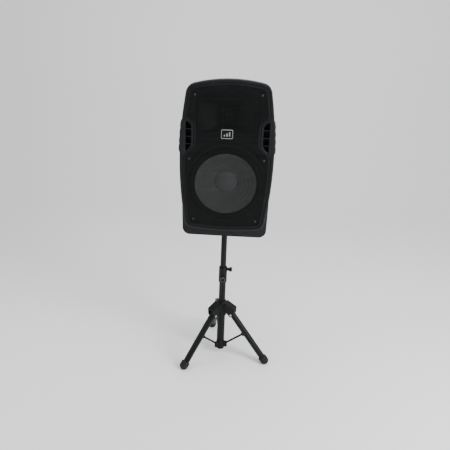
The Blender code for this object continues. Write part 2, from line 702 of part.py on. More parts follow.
handle_back = BEZEL_FRONT + HANDLE_DEPTH
grip_inner = side_width(BEZEL, 0.0, HANDLE_TOP) + HANDLE_PROUD - GRIP_WIDTH
for side, side_name in ((-1, "left"), (1, "right")):
    levels = handle_levels(HANDLE_BOTTOM, HANDLE_TOP)
    opening = recess_outline(side, HANDLE_BOTTOM, HANDLE_TOP, levels, 0.0, BODY_HALF_WIDTH + 0.05)
    handle_cut = prism(f"handle_cut_{side_name}", opening, BEZEL_FRONT - CUTTER_SPARE, handle_back + GAP,
                       None, assembly, cutter=True)
    cut(front_shell, handle_cut)
    sections = []
    for level in handle_levels(HANDLE_BOTTOM + GAP, HANDLE_TOP - GAP):
        outer = grip_edge(level)
        inner = recess_edge(level) + GAP
        plan = [(inner, BEZEL_FRONT), (outer - 0.007, BEZEL_FRONT - 0.0015),
                (outer - 0.002, BEZEL_FRONT + 0.0005), (outer, BEZEL_FRONT + 0.0060),
                (outer, handle_back - 0.006), (outer - 0.004, handle_back), (inner, handle_back)]
        sections.append([Vector((side * x, y, level)) for x, y in plan])
    handle = lofted(f"handle_{side_name}", sections, HANDLE_PLASTIC, assembly)
    for k in range(FINGER_SLOTS):
        low = first_slot + k * slot_pitch
        high = low + slot_height
        steps = [low, low + slot_height / 3, high - slot_height / 3, high]
        slot = recess_outline(side, low, high, steps, GAP + HANDLE_WALL, grip_inner)
        pocket = prism(f"finger_slot_{side_name}_{k + 1}", slot, BEZEL_FRONT - CUTTER_SPARE,
                       handle_back - HANDLE_WALL, None, assembly, cutter=True)
        cut(handle, pocket)

# ================================================================ woofer (local Z forwards, 0 at the baffle)
basket_neck = COIL_RADIUS + BASKET_NECK_CLEARANCE
basket_wall = WOOFER_HOLE_RADIUS - 2 * BASKET_CLEARANCE
back_plate = -WOOFER_DEPTH + BASKET_PLATE
cone_slope_start = WOOFER_HOLE_RADIUS - BASKET_SHOULDER
turned("woofer_basket", [
    (WOOFER_FLANGE_RADIUS, GAP), (WOOFER_FLANGE_RADIUS, WOOFER_FLANGE_THICK),
    (basket_wall + BASKET_SHEET, WOOFER_FLANGE_THICK), (basket_wall + BASKET_SHEET, LIP_HEIGHT - GAP),
    (cone_slope_start, -0.002), (MAGNET_RADIUS + 0.001, back_plate), (basket_neck, back_plate),
    (basket_neck, -WOOFER_DEPTH), (MAGNET_RADIUS + 0.002, -WOOFER_DEPTH), (basket_wall, -0.004),
    (basket_wall, GAP)], BASKET_ALLOY, woofer_frame, ROUND_LARGE)

gap_depth = COIL_LENGTH - CONE_TO_PLATE
pole_piece = COIL_RADIUS - COIL_WALL - COIL_CLEARANCE
gap_outer = COIL_RADIUS + COIL_CLEARANCE
magnet_top = -WOOFER_DEPTH - GAP
turned("woofer_magnet", [
    (0.0, magnet_top), (pole_piece, magnet_top), (pole_piece, magnet_top - gap_depth),
    (gap_outer, magnet_top - gap_depth), (gap_outer, magnet_top), (MAGNET_RADIUS, magnet_top),
    (MAGNET_RADIUS, magnet_top - MAGNET_THICK), (0.0, magnet_top - MAGNET_THICK)],
    FERRITE, woofer_frame, ROUND_LARGE)

roll_outer = WOOFER_HOLE_RADIUS - BASKET_CLEARANCE
roll_middle = (SURROUND_INNER + roll_outer) / 2
roll_half = (roll_outer - SURROUND_INNER) / 2 - SURROUND_LAND
land_top = LIP_HEIGHT + CONE_PAPER
roll_angles = [math.pi * k / 4 for k in range(5)]
roll_top = [(roll_middle + roll_half * math.cos(a), land_top + SURROUND_HEIGHT * math.sin(a))
            for a in roll_angles]
roll_inside = roll_half - CONE_PAPER
roll_under = [(roll_middle + roll_inside * math.cos(a), LIP_HEIGHT + SURROUND_HEIGHT * math.sin(a))
              for a in reversed(roll_angles)]
turned("woofer_surround", [(roll_outer, LIP_HEIGHT), (roll_outer, land_top)] + roll_top
       + [(SURROUND_INNER, land_top), (SURROUND_INNER, LIP_HEIGHT)] + roll_under,
       SURROUND_FOAM, woofer_frame, ROUND_LARGE)

cone_edge = SURROUND_INNER - GAP
cone_neck = COIL_RADIUS + GAP
cone_slope = CONE_NECK_DEPTH / (cone_edge - cone_neck)
turned("woofer_cone", [
    (cone_edge, LIP_HEIGHT), (cone_edge, land_top), (cone_neck, land_top - CONE_NECK_DEPTH),
    (cone_neck, LIP_HEIGHT - CONE_NECK_DEPTH)], CONE_PAPER_FINISH, woofer_frame, ROUND_LARGE)

cap_base = land_top - (cone_edge - DUST_CAP_RADIUS) * cone_slope + GAP
cap_middle = cap_base + CONE_PAPER
cap_angles = [math.pi / 2 * k / 4 for k in range(1, 5)]
cap_top = [(DUST_CAP_RADIUS * math.sin(a), cap_middle + DUST_CAP_HEIGHT * math.cos(a)) for a in cap_angles]
cap_inside = DUST_CAP_RADIUS - CONE_PAPER
cap_under = [(cap_inside * math.sin(a), cap_middle + (DUST_CAP_HEIGHT - CONE_PAPER) * math.cos(a))
             for a in reversed(cap_angles)]
turned("dust_cap", [(0.0, cap_middle + DUST_CAP_HEIGHT)] + cap_top
       + [(DUST_CAP_RADIUS, cap_base), (cap_inside, cap_base)] + cap_under
       + [(0.0, cap_middle + DUST_CAP_HEIGHT - CONE_PAPER)], CONE_PAPER_FINISH, woofer_frame, ROUND_LARGE)

coil_top = LIP_HEIGHT - CONE_NECK_DEPTH
coil_bottom = coil_top - COIL_LENGTH
coil_inner = COIL_RADIUS - COIL_WALL
coil_profile = [(COIL_RADIUS, coil_top), (coil_inner, coil_top), (coil_inner, coil_bottom),
                (COIL_RADIUS, coil_bottom)]
turned("voice_coil", coil_profile, WINDING, woofer_frame, ROUND_LARGE)

basket_slope = (cone_slope_start - MAGNET_RADIUS - 0.001) / (-0.002 - back_plate)
spider_under = -SPIDER_DEPTH - SPIDER_THICK
spider_radius = MAGNET_RADIUS + 0.001 + (spider_under - back_plate) * basket_slope - 0.001
spider_inner = cone_neck + GAP
turned("spider", [
    (spider_inner, -SPIDER_DEPTH), (spider_inner, spider_under), (spider_radius, spider_under),
    (spider_radius, -SPIDER_DEPTH)], SURROUND_FOAM, woofer_frame, ROUND_LARGE)


# ================================================================ horn and its compression driver
def horn_ring(half_width, half_height, corner, depth):
    """Rounded outline of the horn at one depth."""
    return [Vector((x, y, depth)) for x, y in rounded_rectangle(half_width, half_height, corner)]


mouth_inside = (HORN_MOUTH_HALF_WIDTH, HORN_MOUTH_HALF_HEIGHT, HORN_CORNER - HORN_WALL)
mouth_outside = (HORN_MOUTH_HALF_WIDTH + HORN_WALL, HORN_MOUTH_HALF_HEIGHT + HORN_WALL, HORN_CORNER)
flange = (HORN_MOUTH_HALF_WIDTH + HORN_FLANGE, HORN_MOUTH_HALF_HEIGHT + HORN_FLANGE, HORN_CORNER)
throat = HORN_THROAT_RADIUS
throat_end = throat + HORN_WALL
flare_inside = []
flare_outside = []
for depth_share, size_left in ((0.30, 0.62), (0.60, 0.25)):
    half_width = throat + (HORN_MOUTH_HALF_WIDTH - throat) * size_left ** 1.15
    half_height = throat + (HORN_MOUTH_HALF_HEIGHT - throat) * size_left ** 0.55
    depth = -depth_share * HORN_DEPTH
    flare_inside.append(horn_ring(half_width, half_height, HORN_CORNER - HORN_WALL, depth))
    flare_outside.append(horn_ring(half_width + HORN_WALL, half_height + HORN_WALL, HORN_CORNER,
                                   depth - HORN_WALL))
horn_rings = [horn_ring(*flange, GAP), horn_ring(*flange, WOOFER_FLANGE_THICK),
              horn_ring(*mouth_inside, WOOFER_FLANGE_THICK)] + flare_inside
horn_rings += [horn_ring(throat, throat, 0.99 * throat, -HORN_DEPTH),
               horn_ring(throat_end, throat_end, 0.99 * throat_end, -HORN_DEPTH)]
horn_rings += list(reversed(flare_outside)) + [horn_ring(*mouth_outside, GAP)]
lofted("horn_flare", horn_rings, HORN_PLASTIC, horn_frame, closed=True)

driver_face = -HORN_DEPTH - GAP
driver_shoulder = driver_face - DRIVER_NECK_LENGTH
turned("compression_driver", [
    (0.0, driver_face), (DRIVER_NECK_RADIUS, driver_face), (DRIVER_NECK_RADIUS, driver_shoulder),
    (DRIVER_RADIUS, driver_shoulder - 0.003), (DRIVER_RADIUS, driver_face - DRIVER_LENGTH),
    (0.0, driver_face - DRIVER_LENGTH)], FERRITE, horn_frame)

# ================================================================ pole socket in the cabinet's underside
socket_inner = bore_radius(POLE_SLEEVE_RADIUS)
turned("pole_socket", [
    (0.0, SOCKET_END), (socket_inner, SOCKET_END), (socket_inner, BASE_Z - GAP - SOCKET_FLANGE_THICK),
    (SOCKET_FLANGE_RADIUS, BASE_Z - GAP - SOCKET_FLANGE_THICK), (SOCKET_FLANGE_RADIUS, BASE_Z - GAP),
    (socket_outer, BASE_Z - GAP), (socket_outer, SOCKET_END + WALL), (0.0, SOCKET_END + WALL)],
    STAND_PLASTIC, assembly)

# ================================================================ rear panel and what it carries
panel = block("amp_panel", (-PANEL_WIDTH / 2, BODY_BACK + GAP, PANEL_Z - PANEL_HEIGHT / 2),
              (PANEL_WIDTH / 2, PANEL_FACE, PANEL_Z + PANEL_HEIGHT / 2), PANEL_PAINT, assembly)


def panel_frame(name, x, z):
    """Frame on the panel's outer face, local Z pointing out of the back."""
    return frame(name, (x, PANEL_FACE, z), facing_back, assembly)


def round_panel_hole(name, radius, holder):
    """Round hole through the panel for a shaft, a button or a jack."""
    cut(panel, bar_cutter(name, radius + PANEL_CLEARANCE, -CUTTER_SPARE, CUTTER_SPARE, holder, ROUND_SMALL))


def square_panel_hole(name, half_width, half_height, holder):
    """Rectangular hole through the panel for a built-in unit."""
    x = half_width + PANEL_CLEARANCE
    y = half_height + PANEL_CLEARANCE
    cut(panel, block(name, (-x, -y, -CUTTER_SPARE), (x, y, CUTTER_SPARE), None, holder, cutter=True))


for k, knob_name in enumerate(("mic_knob", "line_knob", "bass_knob", "treble_knob")):
    holder = panel_frame(f"{knob_name}_frame", (k - 1.5) * KNOB_PITCH, KNOB_ROW_Z)
    round_panel_hole(f"{knob_name}_hole", KNOB_SHAFT_RADIUS, holder)
    turned(knob_name, [
        (0.0, -KNOB_SHAFT_LENGTH), (KNOB_SHAFT_RADIUS, -KNOB_SHAFT_LENGTH), (KNOB_SHAFT_RADIUS, KNOB_LIFT),
        (KNOB_RADIUS, KNOB_LIFT), (0.88 * KNOB_RADIUS, 0.93 * KNOB_LENGTH), (0.80 * KNOB_RADIUS, KNOB_LENGTH),
        (0.0, KNOB_LENGTH)], CONTROL_PLASTIC, holder, ROUND_KNOB)

for k in range(3):
    holder = panel_frame(f"button_frame_{k + 1}", (k - 1) * BUTTON_PITCH, BUTTON_ROW_Z)
    round_panel_hole(f"button_hole_{k + 1}", BUTTON_RADIUS, holder)
    turned(f"media_button_{k + 1}", [
        (0.0, -BUTTON_STEM), (BUTTON_RADIUS, -BUTTON_STEM), (BUTTON_RADIUS, 0.75 * BUTTON_PROUD),
        (0.8 * BUTTON_RADIUS, BUTTON_PROUD), (0.0, BUTTON_PROUD)], CONTROL_PLASTIC, holder, ROUND_SMALL)

player_frame = panel_frame("player_frame", 0.0, PLAYER_Z)
square_panel_hole("player_hole", PLAYER_WIDTH / 2, PLAYER_HEIGHT / 2, player_frame)
player = block("media_player", (-PLAYER_WIDTH / 2, -PLAYER_HEIGHT / 2, -PLAYER_DEPTH),
               (PLAYER_WIDTH / 2, PLAYER_HEIGHT / 2, UNIT_PROUD), CONTROL_PLASTIC, player_frame)
usb_slot = block("usb_slot", (USB_X - USB_WIDTH / 2, -USB_HEIGHT / 2, -0.75 * PLAYER_DEPTH),
                 (USB_X + USB_WIDTH / 2, USB_HEIGHT / 2, CUTTER_SPARE), None, player_frame, cutter=True)
cut(player, usb_slot)

for jack_name, jack_x, jack_radius, bore in (("mic_jack", -JACK_X, MIC_JACK_RADIUS, MIC_JACK_BORE),
                                             ("line_jack", 0.0, LINE_JACK_RADIUS, LINE_JACK_BORE)):
    holder = panel_frame(f"{jack_name}_frame", jack_x, JACK_ROW_Z)
    round_panel_hole(f"{jack_name}_hole", jack_radius, holder)
    turned(jack_name, [
        (0.0, -JACK_DEPTH), (jack_radius, -JACK_DEPTH), (jack_radius, UNIT_PROUD), (bore, UNIT_PROUD),
        (bore, -0.8 * JACK_DEPTH), (0.0, -0.8 * JACK_DEPTH)], CONTROL_PLASTIC, holder, ROUND_SMALL)

rocker_frame = panel_frame("rocker_frame", JACK_X, JACK_ROW_Z)
square_panel_hole("rocker_hole", ROCKER_WIDTH / 2, ROCKER_HALF_HEIGHT + ROCKER_TILT_ROOM, rocker_frame)
rocker_profile = [(-ROCKER_HALF_HEIGHT, -ROCKER_DEPTH), (ROCKER_HALF_HEIGHT, -ROCKER_DEPTH),
                  (ROCKER_HALF_HEIGHT, ROCKER_HIGH), (0.0, ROCKER_LOW), (-ROCKER_HALF_HEIGHT, ROCKER_LOW)]
prism("power_rocker", rocker_profile, -ROCKER_WIDTH / 2, ROCKER_WIDTH / 2, CONTROL_PLASTIC, rocker_frame, "X")

inlet_frame = panel_frame("inlet_frame", 0.0, INLET_Z)
square_panel_hole("inlet_hole", INLET_WIDTH / 2, INLET_HEIGHT / 2, inlet_frame)
inlet = block("power_inlet", (-INLET_WIDTH / 2, -INLET_HEIGHT / 2, -INLET_DEPTH),
              (INLET_WIDTH / 2, INLET_HEIGHT / 2, UNIT_PROUD), CONTROL_PLASTIC, inlet_frame)
inlet_recess = block("inlet_recess", (-RECESS_WIDTH / 2, -RECESS_HEIGHT / 2, -0.85 * INLET_DEPTH),
                     (RECESS_WIDTH / 2, RECESS_HEIGHT / 2, CUTTER_SPARE), None, inlet_frame, cutter=True)
cut(inlet, inlet_recess)

block("circuit_board", (-BOARD_WIDTH / 2, BOARD_Y, PANEL_Z - BOARD_HEIGHT / 2),
      (BOARD_WIDTH / 2, BOARD_Y + BOARD_THICK, PANEL_Z + BOARD_HEIGHT / 2), BOARD_FINISH, assembly)
transformer_floor = BASE_Z + 1.5 * WALL + GAP
transformer_top = transformer_floor + TRANSFORMER_HEIGHT
block("transformer", (-TRANSFORMER_WIDTH / 2, TRANSFORMER_FRONT, transformer_floor),
      (TRANSFORMER_WIDTH / 2, TRANSFORMER_FRONT + TRANSFORMER_LENGTH, transformer_top), WINDING, assembly)

# ================================================================ stand: column
base_tube_inner = BASE_TUBE_RADIUS - TUBE_WALL
upper_tube_inner = UPPER_TUBE_RADIUS - TUBE_WALL
base_tube_bottom = COLLAR_BOTTOM + COLLAR_FLOOR + GAP
base_tube_bore = bore_radius(BASE_TUBE_RADIUS)
upper_tube_bore = bore_radius(UPPER_TUBE_RADIUS)


def tube(name, outer, inner, low, high, finish, parent):
    """Straight round tube along local Z."""
    return turned(name, [(inner, low), (inner, high), (outer, high), (outer, low)], finish, parent)


base_tube = tube("base_tube", BASE_TUBE_RADIUS, base_tube_inner, base_tube_bottom, BASE_TUBE_TOP,
                 TUBE_PAINT, assembly)
tube("column_sleeve", COLUMN_SLEEVE_RADIUS, base_tube_bore, COLLAR_TOP + GAP, HUB_BOTTOM - GAP,
     STAND_PLASTIC, assembly)
tube("upper_tube", UPPER_TUBE_RADIUS, upper_tube_inner, UPPER_TUBE_BOTTOM, UPPER_TUBE_TOP,
     TUBE_PAINT, assembly)
sleeve_bottom = BASE_Z + POLE_SLEEVE_TOP
sleeve_roof = SLEEVE_TOP - POLE_SLEEVE_TOP
turned("pole_sleeve", [
    (0.0, SLEEVE_TOP), (POLE_SLEEVE_RADIUS, SLEEVE_TOP), (POLE_SLEEVE_RADIUS, sleeve_bottom),
    (upper_tube_bore, sleeve_bottom), (upper_tube_bore, sleeve_roof), (0.0, sleeve_roof)],
    STAND_PLASTIC, assembly)

clamp = turned("clamp_collar", [
    (base_tube_bore, CLAMP_BOTTOM), (base_tube_bore, BASE_TUBE_TOP + GAP),
    (upper_tube_bore, BASE_TUBE_TOP + GAP),
    (upper_tube_bore, CLAMP_TOP), (CLAMP_RADIUS - CLAMP_CHAMFER, CLAMP_TOP),
    (CLAMP_RADIUS, CLAMP_TOP - 2 * CLAMP_CHAMFER), (CLAMP_RADIUS, CLAMP_BOTTOM + 2 * CLAMP_CHAMFER),
    (CLAMP_RADIUS - CLAMP_CHAMFER, CLAMP_BOTTOM)], STAND_PLASTIC, assembly)


def knob_on_boss(name, holder, shank_start, boss_end, radius, length, body):
    """Screw knob along local Z: its shank reaches the tube through a hole in the body."""
    hole_radius = bore_radius(KNOB_SHANK_RADIUS, SLIDING, ROUND_SMALL)
    cut(body, bar_cutter(f"{name}_hole", hole_radius, shank_start - KNOB_SHANK_RADIUS,
                         boss_end + CUTTER_SPARE, holder, ROUND_SMALL))
    face = boss_end + GAP
    turned(name, [
        (0.0, shank_start), (KNOB_SHANK_RADIUS, shank_start), (KNOB_SHANK_RADIUS, face),
        (0.75 * radius, face), (radius, face + 0.2 * length), (radius, face + 0.85 * length),
        (0.85 * radius, face + length), (0.0, face + length)], STAND_PLASTIC, holder, ROUND_KNOB)


clamp_knob_frame = frame("clamp_knob_frame", (0.0, 0.0, CLAMP_KNOB_Z), turn_about("Y", 90), assembly)
clamp_boss_end = CLAMP_RADIUS + BOSS_LENGTH
clamp_boss = bar_cutter("clamp_boss", BOSS_RADIUS, CLAMP_RADIUS - BOSS_ROOT, clamp_boss_end, clamp_knob_frame,
                        ROUND_SMALL)
join(clamp, clamp_boss)
knob_on_boss("clamp_knob", clamp_knob_frame, UPPER_TUBE_RADIUS + 2 * GAP, clamp_boss_end, CLAMP_KNOB_RADIUS,
             CLAMP_KNOB_LENGTH, clamp)

pin_frame = frame("pin_frame", (0.0, 0.0, PIN_Z), facing_front, assembly)
pin_hole = bar_cutter("pin_hole", bore_radius(PIN_RADIUS, SLIDING, ROUND_SMALL), BASE_TUBE_RADIUS / 2,
                      CLAMP_RADIUS + CUTTER_SPARE, pin_frame, ROUND_SMALL)
cut(clamp, pin_hole, solver="MANIFOLD")
cut(base_tube, pin_hole)
pin_start = UPPER_TUBE_RADIUS + 2 * GAP
pin_head = CLAMP_RADIUS + PIN_STAND_OFF
pin = turned("safety_pin", [
    (0.0, pin_start), (PIN_RADIUS, pin_start), (PIN_RADIUS, pin_head), (1.5 * PIN_RADIUS, pin_head),
    (1.5 * PIN_RADIUS, pin_head + PIN_HEAD_LENGTH), (0.0, pin_head + PIN_HEAD_LENGTH)],
    BRIGHT_STEEL, pin_frame, ROUND_SMALL)
ring_sections = []
for k in range(12):
    around = math.tau * k / 12
    middle = Vector((math.sin(around), math.cos(around), 0.0))
    centre = Vector((0.0, -PIN_RING_RADIUS, pin_head + PIN_HEAD_LENGTH / 2)) + PIN_RING_RADIUS * middle
    wire = arc((0.0, 0.0), PIN_WIRE_RADIUS, 0.0, 300.0, 5)
    ring_sections.append([centre + out * middle + Vector((0.0, 0.0, up)) for out, up in wire])
pin_ring = lofted("pin_ring", ring_sections, None, pin_frame, closed=True, cutter=True)
join(pin, pin_ring)

# ================================================================ stand: hub and bottom collar
hub = turned("hub", [
    (base_tube_bore, HUB_BOTTOM), (base_tube_bore, HUB_TOP), (HUB_CORE_RADIUS - HUB_CHAMFER, HUB_TOP),
    (HUB_CORE_RADIUS, HUB_TOP - 2 * HUB_CHAMFER), (HUB_CORE_RADIUS, HUB_BOTTOM)], STAND_PLASTIC, assembly)
collar_floor = COLLAR_BOTTOM + COLLAR_FLOOR
collar = turned("bottom_collar", [
    (0.0, COLLAR_BOTTOM), (COLLAR_RADIUS - COLLAR_CHAMFER, COLLAR_BOTTOM),
    (COLLAR_RADIUS, COLLAR_BOTTOM + COLLAR_CHAMFER), (COLLAR_RADIUS, COLLAR_TOP),
    (base_tube_bore, COLLAR_TOP), (base_tube_bore, collar_floor), (0.0, collar_floor)],
    STAND_PLASTIC, assembly)

slot_half = LEG_RADIUS + LEG_SIDE_CLEARANCE
arm_half = slot_half + HUB_CHEEK
head_start = arm_half + GAP
lug_slot_half = BRACE_THICK / 2 + LUG_CLEARANCE
lug_half = lug_slot_half + LUG_THICK
arm_root = HUB_CORE_RADIUS - HUB_ROOT
arm_shoulder = HUB_TOP - 2 * HUB_CHAMFER
arm_under = LEG_PIVOT_Z - HUB_BELOW_PIVOT
arm_profile = [(arm_root, arm_shoulder), (HUB_CORE_RADIUS + HUB_CHAMFER, arm_shoulder),
               (HUB_ARM_REACH - HUB_CHAMFER, HUB_ARM_TOP), (HUB_ARM_REACH, HUB_ARM_TOP - 2 * HUB_CHAMFER),
               (HUB_ARM_REACH - HUB_CHAMFER, LEG_PIVOT_Z), (LEG_PIVOT_RADIUS + 0.008, arm_under),
               (LEG_PIVOT_RADIUS - 0.008, arm_under), (LEG_PIVOT_RADIUS - 0.020, LEG_PIVOT_Z),
               (arm_root, LEG_PIVOT_Z + 0.020)]
slot_root = HUB_CORE_RADIUS + 0.001
slot_profile = [(slot_root, HUB_BOTTOM - CUTTER_SPARE), (slot_root, arm_shoulder - 3 * HUB_COVER),
                (slot_root + HUB_COVER, arm_shoulder - HUB_COVER),
                (HUB_ARM_REACH - HUB_COVER, HUB_ARM_TOP - HUB_COVER),
                (HUB_ARM_REACH + CUTTER_SPARE, HUB_ARM_TOP - CUTTER_SPARE),
                (HUB_ARM_REACH + CUTTER_SPARE, HUB_BOTTOM - CUTTER_SPARE)]
bolt_hole_radius = bore_radius(PIVOT_BOLT_RADIUS, SLIDING, ROUND_SMALL)
lug_low = BRACE_FOOT_Z - LUG_BELOW_PIVOT
lug_high = BRACE_FOOT_Z + LUG_ABOVE_PIVOT
lug_reach = BRACE_FOOT_RADIUS + LUG_PAST_PIVOT

tripod_sides = []
for number, azimuth in enumerate(LEG_AZIMUTHS, start=1):
    spoke = frame(f"spoke_{number}", (0.0, 0.0, 0.0), turn_about("Z", azimuth), assembly)
    arm = prism(f"hub_arm_{number}", arm_profile, -arm_half, arm_half, None, spoke, "Y", cutter=True)
    arm_slot = prism(f"hub_slot_{number}", slot_profile, -slot_half, slot_half, None, spoke, "Y", cutter=True)
    pivot = frame(f"leg_pivot_frame_{number}", (LEG_PIVOT_RADIUS, 0.0, LEG_PIVOT_Z), turn_about("X", -90),
                  spoke)
    bolt_hole = bar_cutter(f"bolt_hole_{number}", bolt_hole_radius, -arm_half - CUTTER_SPARE,
                           arm_half + CUTTER_SPARE, pivot, ROUND_SMALL)
    join(hub, arm)
    cut(hub, arm_slot, bolt_hole)
    turned(f"leg_pivot_{number}", [
        (0.0, -head_start - PIVOT_HEAD), (PIVOT_HEAD_RADIUS, -head_start - PIVOT_HEAD),
        (PIVOT_HEAD_RADIUS, -head_start), (PIVOT_BOLT_RADIUS, -head_start), (PIVOT_BOLT_RADIUS, head_start),
        (PIVOT_HEAD_RADIUS, head_start), (PIVOT_HEAD_RADIUS, head_start + PIVOT_HEAD),
        (0.0, head_start + PIVOT_HEAD)], BRIGHT_STEEL, pivot, ROUND_SMALL)

    lug = block(f"collar_lug_{number}", (COLLAR_RADIUS - BOSS_ROOT, -lug_half, lug_low),
                (lug_reach, lug_half, lug_high), None, spoke, cutter=True)
    lug_slot = block(f"collar_slot_{number}",
                     (COLLAR_RADIUS + 0.0001, -lug_slot_half, lug_low - CUTTER_SPARE),
                     (lug_reach + CUTTER_SPARE, lug_slot_half, lug_high + CUTTER_SPARE),
                     None, spoke, cutter=True)
    join(collar, lug)
    cut(collar, lug_slot)
    tripod_sides.append((number, spoke, bolt_hole))

tube_space = turned("tube_space", [
    (0.0, collar_floor), (base_tube_bore, collar_floor), (base_tube_bore, HUB_TOP + CUTTER_SPARE),
    (0.0, HUB_TOP + CUTTER_SPARE)], None, assembly, cutter=True)
cut(hub, tube_space)
cut(collar, tube_space)

hub_knob_frame = frame("hub_knob_frame", (0.0, 0.0, HUB_KNOB_Z),
                       turn_about("Z", HUB_KNOB_AZIMUTH) @ turn_about("Y", 90), assembly)
hub_boss_end = HUB_CORE_RADIUS + BOSS_LENGTH
hub_boss = bar_cutter("hub_boss", BOSS_RADIUS, HUB_CORE_RADIUS - BOSS_ROOT, hub_boss_end, hub_knob_frame,
                      ROUND_SMALL)
join(hub, hub_boss)
knob_on_boss("hub_knob", hub_knob_frame, BASE_TUBE_RADIUS + 2 * GAP, hub_boss_end, HUB_KNOB_RADIUS,
             HUB_KNOB_LENGTH, hub)

# ================================================================ stand: legs, feet and braces
# leg frames: local Z runs down the leg, local X points from the leg towards the column
lean = math.radians(LEG_ANGLE)
foot_centre = (LEG_PIVOT_Z - FOOT_RADIUS + SOLE_DEPTH) / math.cos(lean)
leg_end = foot_centre + LEG_IN_FOOT
foot_mouth = foot_centre + FOOT_RADIUS - FOOT_LENGTH
foot_bore = bore_radius(LEG_RADIUS, GAP)
foot_angles = [math.pi / 2 * m / 5 for m in range(1, 6)]
foot_profile = [(0.0, foot_centre + FOOT_RADIUS)]
foot_profile += [(FOOT_RADIUS * math.sin(a), foot_centre + FOOT_RADIUS * math.cos(a)) for a in foot_angles]
foot_profile += [(FOOT_RADIUS, foot_mouth + FOOT_CHAMFER), (FOOT_RADIUS - FOOT_CHAMFER, foot_mouth),
                 (foot_bore, foot_mouth), (foot_bore, leg_end + GAP), (0.0, leg_end + GAP)]
floor_cut = block("floor_cut", (-0.6, -0.6, -0.1), (0.6, 0.6, 0.0), None, assembly, cutter=True)

cheek_root = LEG_RADIUS - TUBE_WALL / 2
cheek_shoulder = BRACKET_OFFSET + 0.0045
cheek_outline = [(cheek_root, BRACKET_ALONG - BRACKET_HALF_LENGTH), (cheek_shoulder, BRACKET_ALONG - 0.006),
                 (cheek_shoulder + 0.002, BRACKET_ALONG), (cheek_shoulder, BRACKET_ALONG + 0.006),
                 (cheek_root, BRACKET_ALONG + BRACKET_HALF_LENGTH)]

down_leg = Vector((math.sin(lean), -math.cos(lean)))
towards_column = Vector((-math.cos(lean), -math.sin(lean)))
leg_top = Vector((LEG_PIVOT_RADIUS, LEG_PIVOT_Z))
bracket_point = leg_top + BRACKET_ALONG * down_leg + BRACKET_OFFSET * towards_column
brace_span = Vector((BRACE_FOOT_RADIUS, BRACE_FOOT_Z)) - bracket_point
brace_fall = math.degrees(math.atan2(-brace_span.y, -brace_span.x))
brace_outline = arc((0.0, 0.0), BRACE_HALF_HEIGHT, -90, 90, 6)
brace_outline += arc((-brace_span.length, 0.0), BRACE_HALF_HEIGHT, 90, 270, 6)

for number, spoke, bolt_hole in tripod_sides:
    leg_frame = frame(f"leg_frame_{number}", (LEG_PIVOT_RADIUS, 0.0, LEG_PIVOT_Z),
                      turn_about("Y", 180.0 - LEG_ANGLE), spoke)
    leg = tube(f"leg_{number}", LEG_RADIUS, LEG_RADIUS - TUBE_WALL, -LEG_HEAD, leg_end, TUBE_PAINT, leg_frame)
    cut(leg, bolt_hole)
    for side_name, low in (("a", -lug_half), ("b", lug_slot_half)):
        cheek = prism(f"bracket_{side_name}_{number}", cheek_outline, low, low + LUG_THICK, None, leg_frame,
                      "Y", cutter=True)
        join(leg, cheek)
    foot = turned(f"foot_{number}", foot_profile, FOOT_RUBBER, leg_frame)
    cut(foot, floor_cut)
    brace_frame = frame(f"brace_frame_{number}", (bracket_point.x, 0.0, bracket_point.y),
                        turn_about("Y", -brace_fall), spoke)
    prism(f"brace_{number}", brace_outline, -BRACE_THICK / 2, BRACE_THICK / 2, TUBE_PAINT, brace_frame, "Y")


# ================================================================ stand the assembly over the origin
def centre_over_origin():
    """Moves the whole so that the middle of its box lies over the origin."""
    bpy.context.view_layer.update()
    graph = bpy.context.evaluated_depsgraph_get()
    corners = []
    for piece in bpy.data.objects:
        if piece.type == "MESH" and not piece.hide_render:
            shape = piece.evaluated_get(graph).to_mesh()
            corners += [piece.matrix_world @ vertex.co for vertex in shape.vertices]
    for axis in range(2):
        values = [corner[axis] for corner in corners]
        assembly.location[axis] -= (min(values) + max(values)) / 2
    bpy.context.view_layer.update()


centre_over_origin()
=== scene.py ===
"""Powered two-way loudspeaker on a folding tripod stand: the looks of every piece, around the CAD frame."""
import math

import bmesh
import bpy
from mathutils import Matrix, Vector


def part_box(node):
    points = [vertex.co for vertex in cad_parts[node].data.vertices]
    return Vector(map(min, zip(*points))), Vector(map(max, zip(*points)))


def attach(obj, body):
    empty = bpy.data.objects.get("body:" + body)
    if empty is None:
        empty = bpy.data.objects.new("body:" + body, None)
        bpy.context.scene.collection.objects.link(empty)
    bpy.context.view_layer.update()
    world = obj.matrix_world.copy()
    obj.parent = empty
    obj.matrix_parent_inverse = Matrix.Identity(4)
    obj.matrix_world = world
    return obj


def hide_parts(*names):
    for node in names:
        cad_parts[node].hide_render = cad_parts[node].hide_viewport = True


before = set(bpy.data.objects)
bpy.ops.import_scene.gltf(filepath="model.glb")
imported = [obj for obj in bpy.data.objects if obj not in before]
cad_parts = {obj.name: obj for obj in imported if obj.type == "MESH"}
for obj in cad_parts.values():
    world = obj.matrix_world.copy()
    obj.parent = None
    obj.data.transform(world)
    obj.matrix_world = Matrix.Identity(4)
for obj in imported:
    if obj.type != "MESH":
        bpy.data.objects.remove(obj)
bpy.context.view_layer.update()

# ---------------------------------------------------------------- studio
# A plain pale sweep that rises behind the object, lit by broad soft panels. The camera stands in front, a
# little right of the pole and above the cabinet's top, and looks down and a little to the left.
tube_low, tube_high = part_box("base_tube")
pole = Vector(((tube_low.x + tube_high.x) / 2, (tube_low.y + tube_high.y) / 2, 0.0))

camera_data = bpy.data.cameras.new("camera")
camera_data.lens = 39.76
camera_data.shift_x = 0.1078
camera = bpy.data.objects.new("camera", camera_data)
camera.location = pole + Vector((0.0746, -2.3418, 1.699))
camera.rotation_euler = (math.radians(68.2), 0.0, math.radians(7.8))
bpy.context.collection.objects.link(camera)
bpy.context.scene.camera = camera


